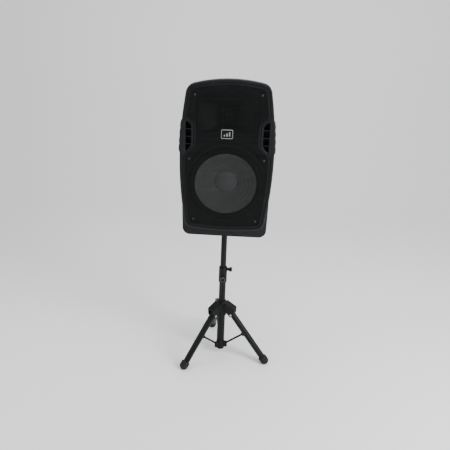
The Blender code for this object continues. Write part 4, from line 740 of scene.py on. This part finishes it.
class Tree:
    """A geometry node group with named inputs, that ends in Realize Instances and Set Material."""

    def __init__(self, name, inputs):
        self.group = bpy.data.node_groups.new(name, "GeometryNodeTree")
        sockets = self.group.interface
        sockets.new_socket("Geometry", in_out="INPUT", socket_type="NodeSocketGeometry")
        for label, kind in (*inputs, ("Material", "NodeSocketMaterial")):
            sockets.new_socket(label, in_out="INPUT", socket_type=kind)
        sockets.new_socket("Geometry", in_out="OUTPUT", socket_type="NodeSocketGeometry")
        self.source = self.group.nodes.new("NodeGroupInput")
        self.start = Wire(self.group)

    def value(self, label):
        return Wire(self.group, self.source.outputs[label])

    def form(self, label):
        """Mesh of the object that an input names."""
        return self.start.make("GeometryNodeObjectInfo", {}, {"Object": self.value(label)}, "Geometry")

    def end(self, instances):
        solid = instances.make("GeometryNodeRealizeInstances", {}, {"Geometry": instances})
        painted = solid.make("GeometryNodeSetMaterial", {}, {"Geometry": solid,
                                                             "Material": self.value("Material")})
        sink = self.group.nodes.new("NodeGroupOutput")
        self.group.links.new(painted.socket, sink.inputs[0])

    def grown(self, name, values):
        """Runs the group on an empty mesh and leaves a plain mesh."""
        made = bpy.data.objects.new(name, bpy.data.meshes.new(name))
        bpy.context.collection.objects.link(made)
        step = made.modifiers.new("pattern", "NODES")
        step.node_group = self.group
        for socket in self.group.interface.items_tree:
            if socket.in_out == "INPUT" and socket.name in values:
                step[socket.identifier] = values[socket.name]
        return finished(made)


tree = Tree("perforated_sheet", (("Outline", "NodeSocketObject"), ("Cell", "NodeSocketObject"),
                                 ("Pitch", "NodeSocketFloat"), ("Middle", "NodeSocketVector"),
                                 ("Columns", "NodeSocketInt"), ("Rows", "NodeSocketInt")))
pitch = tree.value("Pitch")
row_pitch = pitch * (math.sqrt(3.0) / 2.0)
lattice = tree.start.make("GeometryNodeMeshGrid", {}, {
    "Size X": pitch * (tree.value("Columns") - 1.0), "Size Y": row_pitch * (tree.value("Rows") - 1.0),
    "Vertices X": tree.value("Columns"), "Vertices Y": tree.value("Rows")})
spot = tree.start.make("GeometryNodeInputPosition", {}, {})
across = spot.make("ShaderNodeSeparateXYZ", {}, {"Vector": spot}, 0)
along = spot.make("ShaderNodeSeparateXYZ", {}, {"Vector": spot}, 1)
row = tree.start.maths("ROUND", along / row_pitch)
stagger = tree.start.maths("FLOORED_MODULO", row, 2.0) * pitch * 0.5
upright = spot.make("ShaderNodeCombineXYZ", {}, {"X": across + stagger, "Z": along})
placed = spot.make("ShaderNodeVectorMath", {"operation": "ADD"}, {0: upright, 1: tree.value("Middle")})
points = lattice.make("GeometryNodeSetPosition", {}, {"Geometry": lattice, "Position": placed})
inside = points.make("GeometryNodeRaycast", {}, {
    "Target Geometry": tree.form("Outline"), "Ray Direction": (0.0, 1.0, 0.0), "Ray Length": 1.0}, "Is Hit")
cells = points.make("GeometryNodeInstanceOnPoints", {}, {"Points": points, "Selection": inside,
                                                         "Instance": tree.form("Cell")})
tree.end(cells)
grille_low, grille_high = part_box("grille")
sheet_middle = ((grille_low.x + grille_high.x) / 2, pole.y + GRILLE_FRONT + 0.0002,
                (grille_low.z + grille_high.z) / 2)
perforated = tree.grown("perforated_sheet", {"Outline": edge_plate, "Cell": cell, "Pitch": PITCH,
                                             "Middle": sheet_middle, "Columns": 68, "Rows": 130,
                                             "Material": grille_steel})
bpy.data.objects.remove(edge_plate)
bpy.data.objects.remove(cell)
FOLD = 0.002
fold_rings = [ring(BEZEL, BAFFLE_FRONT - 0.0003, GRILLE_INSET, True)]
fold_rings += [ring(BEZEL, GRILLE_FRONT + FOLD * (1.0 - math.sin(a)),
                    GRILLE_INSET + FOLD * (1.0 - math.cos(a)), True) for a in edge_steps]
fold_rings += [ring(BEZEL, GRILLE_FRONT, GRILLE_INSET + BORDER, True),
               ring(BEZEL, GRILLE_FRONT + 0.0010, GRILLE_INSET + BORDER, True),
               ring(BEZEL, GRILLE_FRONT + SHEET, GRILLE_INSET + 0.0014, True),
               ring(BEZEL, BAFFLE_FRONT - 0.0003, GRILLE_INSET + 0.0012, True)]
border = lofted("grille_border", fold_rings, closed=True)
fit(joined("grille_sheet", perforated, border), "cabinet", "grille_steel", grille_steel, "grille")

# ---------------------------------------------------------------- grille screws
# Six black-zinc pan-head screws with a cross recess, driven through the grille's steel into the front shell.
zinc = cast_metal("bright_steel", (0.28, 0.28, 0.27), (0.52, 0.51, 0.48), 0.34, 1.0, 800.0, 0.00003)
black_zinc = cast_metal("screw_black_zinc", (0.035, 0.034, 0.032), (0.090, 0.086, 0.078), 0.38, 0.8, 900.0,
                        0.00003)
HEAD_HEIGHT = 0.0024
head_profile = [(0.0, -0.0180), (0.0010, -0.0165), (0.0019, -0.0140), (0.0019, 0.0), (0.0045, 0.0),
                (0.0045, 0.0007), (0.0040, 0.0015), (0.0030, 0.0021), (0.0015, HEAD_HEIGHT),
                (0.0, HEAD_HEIGHT)]
screw = turned("screw_form", head_profile, Matrix.Identity(4), 28)
recess_arms = [prism(f"recess_arm_{k}", rounded_rectangle(*half, 0.0003, 3), 0.0009, 0.0040,
                     Matrix.Identity(4)) for k, half in enumerate(((0.0024, 0.0005), (0.0005, 0.0024)))]
finished(screw, *recess_arms)

screw_tree = Tree("screw_set", (("Screw", "NodeSocketObject"), ("Spots", "NodeSocketObject")))
facing = screw_tree.start.make("FunctionNodeEulerToRotation", {}, {"Euler": (math.pi / 2, 0.0, 0.0)})
driven = facing.make("GeometryNodeInstanceOnPoints", {}, {
    "Points": screw_tree.form("Spots"), "Instance": screw_tree.form("Screw"), "Rotation": facing})
screw_tree.end(driven)
for k in range(1, 7):
    low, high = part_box(f"grille_screw_{k}")
    spot_mesh = bpy.data.meshes.new("screw_spot")
    spot_mesh.from_pydata([((low.x + high.x) / 2, low.y + HEAD_HEIGHT, (low.z + high.z) / 2)], [], [])
    screw_spot = bpy.data.objects.new("screw_spot", spot_mesh)
    bpy.context.collection.objects.link(screw_spot)
    driven_screw = screw_tree.grown(f"driven_screw_{k}", {"Screw": screw, "Spots": screw_spot,
                                                          "Material": black_zinc})
    bpy.data.objects.remove(screw_spot)
    fit(driven_screw, "cabinet", "bright_steel", black_zinc, f"grille_screw_{k}")
bpy.data.objects.remove(screw)

# ---------------------------------------------------------------- badge
# A small pressed aluminium plate on the grille: a raised bright frame round a black field with three plain
# level bars, stuck on with foam tape.
badge_low, badge_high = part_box("badge")
badge_middle = (badge_low + badge_high) / 2
badge_spot = Matrix.Translation((badge_middle.x, badge_high.y, badge_middle.z))
badge_place = badge_spot @ Matrix.Rotation(math.pi / 2, 4, "X")
badge_thick = badge_high.y - badge_low.y
badge_half = ((badge_high.x - badge_low.x) / 2, (badge_high.z - badge_low.z) / 2)
brushed = Finish("badge_aluminium", 0.34, 1.0)
strokes = noise(stretched(brushed.place, 0.02, 1.0, 1.0), 2500.0, 3.0)
brushed.tone((0.34, 0.34, 0.33), (0.56, 0.56, 0.54), strokes)
brushed.gloss(0.26, 0.44, strokes)
brushed.relief(strokes, 0.00002)
badge_field = moulded("badge_field", (0.004, 0.004, 0.005), (0.008, 0.008, 0.009), 0.30, 1600.0, 0.00002)
plate = prism("badge_plate", rounded_rectangle(badge_half[0] - 0.0004, badge_half[1] - 0.0004, 0.0036), 0.0,
              badge_thick - 0.0008, badge_place)
fit(plate, "cabinet", "badge_aluminium", badge_field, "badge")
frame_rings = []
for inset, height in ((0.0, 0.0), (0.0, badge_thick - 0.0004), (0.0004, badge_thick), (0.0018, badge_thick),
                      (0.0022, badge_thick - 0.0004), (0.0022, 0.0002)):
    corner_round = max(0.004 - inset, 0.001)
    frame_rings.append([badge_place @ Vector((x, y, height)) for x, y in rounded_rectangle(
        badge_half[0] - inset, badge_half[1] - inset, corner_round)])
bright_frame = lofted("badge_frame", frame_rings, closed=True)
bars = []
for k in range(3):
    bar_place = badge_place @ Matrix.Translation((0.011 * (k - 1), -0.0060 + 0.0030 * k, 0.0))
    bars.append(prism(f"level_bar_{k}", rounded_rectangle(0.0030, 0.0035 + 0.0030 * k, 0.0008, 3), 0.0004,
                      badge_thick - 0.0003, bar_place))
bright_parts = joined("badge_bright_parts", bright_frame, *bars)
fit(bright_parts, "cabinet", "badge_aluminium", brushed.material, "badge")

# ---------------------------------------------------------------- side handles
# Two inserts of black glass-filled nylon set into the bezel's sides. Three thin ribs part each pocket into
# four finger slots, and the grip outside them swells between the fingers.
handle_plastic = moulded("handle_plastic", (0.0060, 0.0068, 0.0075), (0.0120, 0.0130, 0.0145), 0.46, 1300.0,
                         0.00008)
for handle in ("handle_left", "handle_right"):
    fit(refined(handle, 0.0006, 2), "cabinet", "handle_plastic", handle_plastic, handle)

# ---------------------------------------------------------------- rear panel
# Steel plate screwed over the opening in the rear shell, coated satin black and printed with white scales. It
# carries the media player, four level knobs, two jacks, the power rocker and the mains inlet.
panel_face = panel_high.y - pole.y
panel_steel = cast_metal("panel_steel", (0.012, 0.012, 0.013), (0.020, 0.020, 0.021), 0.42, 0.3, 1400.0,
                         0.00004)
control_plastic = moulded("control_plastic", (0.012, 0.012, 0.013), (0.022, 0.022, 0.023), 0.36, 1800.0,
                          0.00003)
print_white = moulded("print_white", (0.45, 0.45, 0.44), (0.62, 0.62, 0.60), 0.60, 1500.0, 0.00002)
lens = moulded("player_lens", (0.004, 0.010, 0.016), (0.010, 0.024, 0.036), 0.12, 1500.0, 0.000005)
fit(refined("amp_panel", 0.0004, 2), "cabinet", "panel_steel", panel_steel, "amp_panel")

KNOB_RADIUS = 0.0090
tick_tree = Tree("dial_ticks", (("Tick", "NodeSocketObject"), ("Count", "NodeSocketInt"),
                                ("Radius", "NodeSocketFloat")))
dial = tick_tree.start.make("GeometryNodeCurveArc", {}, {
    "Resolution": tick_tree.value("Count"), "Radius": tick_tree.value("Radius"),
    "Start Angle": math.radians(-60.0), "Sweep Angle": math.radians(300.0)})
tick_place = tick_tree.start.make("GeometryNodeInputPosition", {}, {})
outwards = tick_place.make("FunctionNodeAlignRotationToVector", {"axis": "X"}, {"Vector": tick_place})
ticks = outwards.make("GeometryNodeInstanceOnPoints", {}, {
    "Points": dial, "Instance": tick_tree.form("Tick"), "Rotation": outwards})
tick_tree.end(ticks)
tick = prism("tick_form", rounded_rectangle(0.0011, 0.00022, 0.0001, 2), 0.0, 0.00006, Matrix.Identity(4))
knob_nodes = ("mic_knob", "line_knob", "bass_knob", "treble_knob")
scales = []
for knob in knob_nodes:
    low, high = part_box(knob)
    scale = tick_tree.grown(f"{knob}_scale", {"Tick": tick, "Count": 11, "Radius": KNOB_RADIUS + 0.0035,
                                              "Material": print_white})
    place = facing_back((low.x + high.x) / 2 - pole.x, panel_face + 0.00002, (low.z + high.z) / 2)
    scale.data.transform(place @ Matrix.Rotation(math.pi, 4, "Z"))
    scales.append(scale)
bpy.data.objects.remove(tick)
PRINTED_LINES = ((0.0, 1.1350, 0.078), (0.0, 1.0870, 0.078), (0.0, 1.0330, 0.078), (0.0, 1.2180, 0.060))
for x, z, half in PRINTED_LINES:
    scales.append(prism("printed_line", rounded_rectangle(half, 0.00035, 0.0002, 2), 0.00002, 0.00008,
                        facing_back(x, panel_face, z)))
fit(joined("panel_print", *scales), "cabinet", "panel_steel", print_white, "amp_panel")

for knob in knob_nodes:
    low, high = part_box(knob)
    place = facing_back((low.x + high.x) / 2 - pole.x, panel_face, (low.z + high.z) / 2)
    fluted = []
    for share, height in ((1.00, 0.0005), (1.00, 0.0014), (0.90, 0.0110), (0.86, 0.0130), (0.80, 0.0140)):
        rim = []
        for k in range(72):
            angle = math.tau * k / 72
            radius = KNOB_RADIUS * share * (1.0 - 0.035 * (0.5 + 0.5 * math.cos(18 * angle)))
            rim.append(place @ Vector((radius * math.cos(angle), radius * math.sin(angle), height)))
        fluted.append(rim)
    body = lofted(f"{knob}_body", fluted, angle=50.0)
    shaft = turned(f"{knob}_shaft", [(0.0, -0.012), (0.0030, -0.012), (0.0030, 0.0006), (0.0, 0.0006)],
                   place, 24)
    fit(joined(f"{knob}_made", body, shaft), knob, "control_plastic", control_plastic, knob)
    pointer = prism(f"{knob}_pointer", rounded_rectangle(0.0005, 0.0026, 0.0003, 3), 0.0136, 0.01405,
                    place @ Matrix.Translation((0.0, 0.0042, 0.0)))
    fit(pointer, knob, "control_plastic", print_white, knob)

for k in (1, 2, 3):
    low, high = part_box(f"media_button_{k}")
    place = facing_back((low.x + high.x) / 2 - pole.x, panel_face, (low.z + high.z) / 2)
    profile = [(0.0, -0.0060), (0.0040, -0.0060), (0.0040, 0.0014), (0.0038, 0.0019), (0.0033, 0.0022),
               (0.0020, 0.0020), (0.0, 0.0018)]
    fit(turned(f"button_{k}", profile, place, 40), f"media_button_{k}", "control_plastic", control_plastic,
        f"media_button_{k}")

fit(refined("media_player", 0.0004, 2), "cabinet", "control_plastic", control_plastic, "media_player")
player_low, player_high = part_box("media_player")
window_place = facing_back((player_low.x + player_high.x) / 2 - pole.x, player_high.y - pole.y,
                           (player_low.z + player_high.z) / 2)
window = prism("player_window", rounded_rectangle(0.0210, 0.0115, 0.0015, 4), -0.0003, 0.0003,
               window_place @ Matrix.Translation((0.0125, 0.0, 0.0)))
fit(window, "cabinet", "control_plastic", lens, "media_player")
for jack in ("mic_jack", "line_jack"):
    fit(refined(jack, 0.0003, 2), "cabinet", "control_plastic", control_plastic, jack)
    low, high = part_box(jack)
    outer = (high.x - low.x) / 2
    collar_place = facing_back((low.x + high.x) / 2 - pole.x, high.y - pole.y, (low.z + high.z) / 2)
    rim_profile = [(share * outer, height) for share, height in (
        (0.80, -0.0004), (0.80, 0.0004), (0.84, 0.0009), (0.92, 0.0009), (0.96, 0.0004), (0.96, -0.0004))]
    fit(turned(f"{jack}_rim", rim_profile, collar_place, 48), "cabinet", "bright_steel", zinc, jack)
fit(refined("power_rocker", 0.0004, 2), "power_rocker", "control_plastic", control_plastic, "power_rocker")
fit(refined("power_inlet", 0.0005, 2), "cabinet", "control_plastic", control_plastic, "power_inlet")
inlet_low, inlet_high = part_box("power_inlet")
inlet_place = facing_back((inlet_low.x + inlet_high.x) / 2 - pole.x, inlet_low.y - pole.y,
                          (inlet_low.z + inlet_high.z) / 2)
pins = [prism(f"mains_pin_{k}", rounded_rectangle(0.0010, 0.0022, 0.0004, 2), 0.002, 0.015,
              inlet_place @ Matrix.Translation((x, y, 0.0)))
        for k, (x, y) in enumerate(((-0.0070, -0.0015), (0.0, 0.0020), (0.0070, -0.0015)))]
fit(joined("mains_pins", *pins), "cabinet", "bright_steel", zinc, "power_inlet")

screw_profile = [(0.0, -0.0006), (0.0036, -0.0006), (0.0036, 0.0004), (0.0031, 0.0012), (0.0018, 0.0017),
                 (0.0, 0.0018)]
panel_screws = []
panel_half = ((panel_high.x - panel_low.x) / 2 - 0.0055, (panel_high.z - panel_low.z) / 2 - 0.0055)
for k, (sx, sz) in enumerate(((-1, -1), (1, -1), (-1, 0), (1, 0), (-1, 1), (1, 1))):
    place = facing_back(sx * panel_half[0], panel_face, panel_middle.z + sz * panel_half[1])
    head = turned(f"panel_screw_{k}", screw_profile, place @ Matrix.Rotation(0.8 * k, 4, "Z"), 28)
    slot = prism("screw_slot", rounded_rectangle(0.0026, 0.0005, 0.0002, 2), 0.0008, 0.0040,
                 place @ Matrix.Rotation(0.8 * k, 4, "Z"))
    panel_screws.append(finished(head, slot))
fit(joined("panel_screws", *panel_screws), "cabinet", "bright_steel", black_zinc, "amp_panel")

board_finish = Finish("board_laminate", 0.42)
tracks = board_finish.place.make("ShaderNodeTexBrick", {}, {
    "Vector": stretched(board_finish.place, 1.0, 1.0, 1.0), "Scale": 90.0, "Color1": (0.0, 0.0, 0.0, 1.0),
    "Color2": (0.3, 0.3, 0.3, 1.0), "Mortar": (1.0, 1.0, 1.0, 1.0), "Mortar Size": 0.03}, "Fac")
board_finish.tone((0.006, 0.060, 0.024), (0.030, 0.160, 0.070), tracks)
board_finish.gloss(0.34, 0.52, noise(board_finish.place, 60.0))
board_finish.relief(tracks, 0.00005)
fit(refined("circuit_board", 0.0002, 1), "cabinet", "board_laminate", board_finish.material, "circuit_board")
fit(refined("transformer", 0.0030, 3), "cabinet", "transformer_core", winding, "transformer")

# ---------------------------------------------------------------- pole socket and its sleeve
# The socket is a blind cup of glass-filled nylon flanged under the cabinet. A thin nylon sleeve on the top of
# the pole turns in it and lifts out of it.
stand_plastic = moulded("stand_plastic", (0.0028, 0.0031, 0.0035), (0.0060, 0.0064, 0.0070), 0.46, 1100.0,
                        0.00006)
socket_low, socket_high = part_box("pole_socket")
upright_place = Matrix.Translation(pole)
CUP_BORE, CUP_OUTSIDE, CUP_FLANGE = 0.0178, 0.0228, 0.0450
socket_cup = turned("socket_cup", [
    (0.0, socket_high.z - 0.0043), (CUP_BORE, socket_high.z - 0.0043), (CUP_BORE, socket_low.z + 0.0008),
    (CUP_BORE + 0.0008, socket_low.z), (CUP_FLANGE - 0.0010, socket_low.z),
    (CUP_FLANGE, socket_low.z + 0.0010), (CUP_FLANGE, socket_low.z + 0.0029),
    (CUP_OUTSIDE, socket_low.z + 0.0029), (CUP_OUTSIDE, socket_high.z - 0.0010),
    (CUP_OUTSIDE - 0.0010, socket_high.z), (0.0, socket_high.z)], upright_place, 72)
fit(socket_cup, "cabinet", "stand_plastic", stand_plastic, "pole_socket")
fit(refined("pole_sleeve", 0.0006, 2, 40.0), "pole_sleeve", "stand_plastic", stand_plastic, "pole_sleeve")

# ---------------------------------------------------------------- pole and column tubes
# Two seam-welded steel tubes, 30 mm sliding in 35 mm, coated in semi-gloss black powder. Sliding leaves fine
# scratches that run along them, and a nylon sleeve covers the column between the hub and the collar.
tube_finish = Finish("tube_steel", 0.36, 0.0, 0.16)
scratch_field = noise(stretched(tube_finish.place, 1.0, 1.0, 0.03), 900.0, 3.0)
scratches = scratch_field.above(0.70, 0.03)
orange_peel = noise(tube_finish.place, 650.0, 1.0)
tube_cloud = noise(tube_finish.place, 12.0, 3.0)
tube_finish.tone((0.0028, 0.0038, 0.0045), (0.0080, 0.0096, 0.0104), tube_cloud * 0.5 + scratches * 0.5)
tube_finish.gloss(0.28, 0.48, tube_cloud * 0.6 + scratches * 0.4)
tube_finish.relief(orange_peel - scratches * 0.5, 0.00003)
tube_steel = tube_finish.material


def tube(name, outer, inner, low, high, place, facets=64):
    """Round tube along a place's Z, with its ends eased."""
    ease = 0.0004
    profile = [(inner, low + ease), (inner, high - ease), (inner + ease, high), (outer - ease, high),
               (outer, high - ease), (outer, low + ease), (outer - ease, low), (inner + ease, low)]
    return turned(name, profile, place, facets)


upper_low, upper_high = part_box("upper_tube")
upper_pole = tube("upper_pole", 0.0150, 0.0135, upper_low.z, upper_high.z, upright_place)
fit(upper_pole, "pole", "tube_steel", tube_steel, "upper_tube")
PIN_Z = 0.482
pin_hole = turned("pin_hole", [(0.0, 0.008), (0.0034, 0.008), (0.0034, 0.05), (0.0, 0.05)],
                  facing_front(0.0, 0.0, PIN_Z), 24)
column_tube = tube("column_tube", 0.0175, 0.0160, tube_low.z, tube_high.z, upright_place)
finished(column_tube, pin_hole)
fit(column_tube, "column", "tube_steel", tube_steel, "base_tube")
sleeve_low, sleeve_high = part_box("column_sleeve")
column_cover = tube("column_cover", 0.0205, 0.0179, sleeve_low.z, sleeve_high.z, upright_place)
fit(column_cover, "column", "stand_plastic", stand_plastic, "column_sleeve")

# ---------------------------------------------------------------- pole clamp, knob and safety pin
# Nylon collar driven onto the column's top. Its lobed knob screws through a boss against the inner tube, and
# a zinc-plated pin with a split ring locks the height.
fit(refined("clamp_collar", 0.0009, 3), "column", "stand_plastic", stand_plastic, "clamp_collar")


def lobed_knob(name, place, start, face, radius, length, lobes):
    """Knob with round lobes on a screw shank, along a place's Z."""
    rings = []
    for share, height in ((0.72, 0.0), (0.90, 0.08), (1.00, 0.22), (1.00, 0.78), (0.92, 0.92), (0.74, 1.0)):
        rim = []
        z = face + height * length
        for k in range(80):
            angle = math.tau * k / 80
            reach = radius * share * (1.0 - 0.16 * (0.5 - 0.5 * math.cos(lobes * angle)) ** 1.5)
            rim.append(place @ Vector((reach * math.cos(angle), reach * math.sin(angle), z)))
        rings.append(rim)
    grip = lofted(f"{name}_grip", rings, angle=50.0)
    shank = turned(f"{name}_shank", [(0.0, start), (0.0026, start), (0.0030, start + 0.0006),
                                     (0.0030, face + 0.001), (0.0, face + 0.001)], place, 28)
    return joined(f"{name}_made", grip, shank)


clamp_knob_place = (upright_place @ Matrix.Translation((0.0, 0.0, 0.5195))
                    @ Matrix.Rotation(math.pi / 2, 4, "Y"))
clamp_knob = lobed_knob("clamp_knob", clamp_knob_place, 0.0156, 0.0308, 0.0125, 0.0160, 5)
fit(clamp_knob, "clamp_knob", "stand_plastic", stand_plastic, "clamp_knob")
pin_place = facing_front(0.0, 0.0, PIN_Z)
PIN_HEAD = 0.0300
pin_body = turned("pin_body", [
    (0.0, 0.0156), (0.0024, 0.0156), (0.0030, 0.0164), (0.0030, PIN_HEAD), (0.0042, PIN_HEAD),
    (0.0045, PIN_HEAD + 0.0004), (0.0045, PIN_HEAD + 0.0036), (0.0041, PIN_HEAD + 0.0040),
    (0.0, PIN_HEAD + 0.0040)], pin_place, 32)
ring_rings = []
for k in range(48):
    around = math.tau * k / 48
    outward = Vector((math.sin(around), math.cos(around), 0.0))
    centre = Vector((0.0, -0.0115, PIN_HEAD + 0.0020)) + 0.0115 * outward
    ring_rings.append([pin_place @ (centre + across * outward + Vector((0.0, 0.0, up)))
                       for across, up in arc((0.0, 0.0), 0.0014, 0.0, 324.0, 9)])
pin_ring = lofted("pin_ring", ring_rings, closed=True, angle=60.0)
pin_zinc = cast_metal("pin_dull_zinc", (0.06, 0.06, 0.055), (0.14, 0.135, 0.125), 0.42, 0.9, 800.0, 0.00003)
fit(joined("pin_made", pin_body, pin_ring), "safety_pin", "bright_steel", pin_zinc, "safety_pin")

# ---------------------------------------------------------------- hub and bottom collar
# The hub is one nylon moulding that slides on the column: three hooded arms take the legs between their
# cheeks on steel bolts. The collar closes the column's end, and the braces pivot in its slotted lugs.
fit(refined("hub", 0.0014, 3), "hub", "stand_plastic", stand_plastic, "hub")
fit(refined("bottom_collar", 0.0010, 2), "column", "stand_plastic", stand_plastic, "bottom_collar")
hub_knob_place = (upright_place @ Matrix.Rotation(math.radians(43.8), 4, "Z")
                  @ Matrix.Translation((0.0, 0.0, 0.293)) @ Matrix.Rotation(math.pi / 2, 4, "Y"))
fit(lobed_knob("hub_knob", hub_knob_place, 0.0181, 0.0355, 0.0140, 0.0180, 5), "hub_knob", "stand_plastic",
    stand_plastic, "hub_knob")

# ---------------------------------------------------------------- legs, feet and braces
# Three powder-coated tubes with welded brackets, each ending in a moulded rubber foot with a worn sole. Flat
# steel braces are bolted between the brackets' cheeks and the collar's lugs.
foot_rubber = rubber("foot_rubber", (0.010, 0.010, 0.009), (0.026, 0.027, 0.023), 70.0)
LEG_LEAN = math.radians(38.3)
PIVOT_OUT = 0.0597
PIVOT_Z = 0.265
BRACKET_ALONG = 0.1288
BRACKET_OFF = 0.0225
FOOT_RADIUS = 0.0225
foot_centre = (PIVOT_Z - FOOT_RADIUS + 0.0015) / math.cos(LEG_LEAN)
foot_mouth = foot_centre + FOOT_RADIUS - 0.045
foot_profile = [(0.0, foot_centre + FOOT_RADIUS)]
foot_profile += [(FOOT_RADIUS * math.sin(a), foot_centre + FOOT_RADIUS * math.cos(a))
                 for a in (math.pi / 2 * k / 16 for k in range(1, 17))]
for k in range(3):
    groove = foot_centre - 0.004 - 0.005 * k
    foot_profile += [(FOOT_RADIUS, groove + 0.0010), (FOOT_RADIUS - 0.0007, groove),
                     (FOOT_RADIUS, groove - 0.0010)]
foot_profile += [(FOOT_RADIUS, foot_mouth + 0.0025), (FOOT_RADIUS - 0.0010, foot_mouth + 0.0006),
                 (FOOT_RADIUS - 0.0025, foot_mouth), (0.0170, foot_mouth), (0.0170, foot_centre + 0.0045),
                 (0.0, foot_centre + 0.0045)]
down_leg = Vector((math.sin(LEG_LEAN), -math.cos(LEG_LEAN)))
towards_column = Vector((-math.cos(LEG_LEAN), -math.sin(LEG_LEAN)))
bracket_point = Vector((PIVOT_OUT, PIVOT_Z)) + BRACKET_ALONG * down_leg + BRACKET_OFF * towards_column
brace_span = Vector((0.0312, 0.070)) - bracket_point
brace_fall = math.atan2(-brace_span.y, -brace_span.x)
BOLT_REACH = 0.0225            # from a leg's middle to the head or nut of its pivot bolt
hexagon = [(0.0068 * math.cos(a), 0.0068 * math.sin(a)) for a in (math.tau * k / 6 for k in range(6))]
for number, azimuth in enumerate((103.8, 223.8, 343.8), start=1):
    spoke = upright_place @ Matrix.Rotation(math.radians(azimuth), 4, "Z")
    leg_place = (spoke @ Matrix.Translation((PIVOT_OUT, 0.0, PIVOT_Z))
                 @ Matrix.Rotation(math.pi - LEG_LEAN, 4, "Y"))
    fit(refined(f"leg_{number}", 0.0004, 1, 40.0), f"leg_{number}", "tube_steel", tube_steel, f"leg_{number}")
    foot = turned(f"rubber_foot_{number}", foot_profile, leg_place, 64)
    floor_cut = prism("floor_cut", [(-0.5, -0.5), (0.5, -0.5), (0.5, 0.5), (-0.5, 0.5)], -0.1, 0.0,
                      Matrix.Identity(4))
    finished(foot, floor_cut)
    fit(foot, f"leg_{number}", "foot_rubber", foot_rubber, f"foot_{number}")
    brace_place = (spoke @ Matrix.Translation((bracket_point.x, 0.0, bracket_point.y))
                   @ Matrix.Rotation(-brace_fall, 4, "Y") @ Matrix.Rotation(math.pi / 2, 4, "X"))
    bar = arc((0.0, 0.0), 0.0050, -90, 90, 14) + arc((-brace_span.length, 0.0), 0.0050, 90, 270, 14)
    brace = prism(f"flat_brace_{number}", bar, -0.0022, 0.0022, brace_place)
    rivets = []
    for x in (0.0, -brace_span.length):
        place = brace_place @ Matrix.Translation((x, 0.0, 0.0))
        rivets.append(turned("rivet", [(0.0, -0.0026), (0.0020, -0.0026), (0.0028, -0.0021), (0.0028, 0.0021),
                                       (0.0020, 0.0026), (0.0, 0.0026)], place, 24))
    fit(joined(f"brace_made_{number}", brace, *rivets), f"brace_{number}", "tube_steel", tube_steel,
        f"brace_{number}")

    pivot_place = (spoke @ Matrix.Translation((PIVOT_OUT, 0.0, PIVOT_Z))
                   @ Matrix.Rotation(-math.pi / 2, 4, "X"))
    shaft = turned("pivot_shaft", [(0.0, -BOLT_REACH), (0.0037, -BOLT_REACH), (0.0037, BOLT_REACH),
                                   (0.0, BOLT_REACH)], pivot_place, 28)
    head = prism("pivot_head", hexagon, -BOLT_REACH - 0.0030, -BOLT_REACH, pivot_place)
    nut = prism("pivot_nut", hexagon, BOLT_REACH, BOLT_REACH + 0.0030, pivot_place)
    bolt = joined(f"pivot_bolt_{number}", shaft, head, nut)
    fit(bolt, "hub", "bright_steel", zinc, f"leg_pivot_{number}")
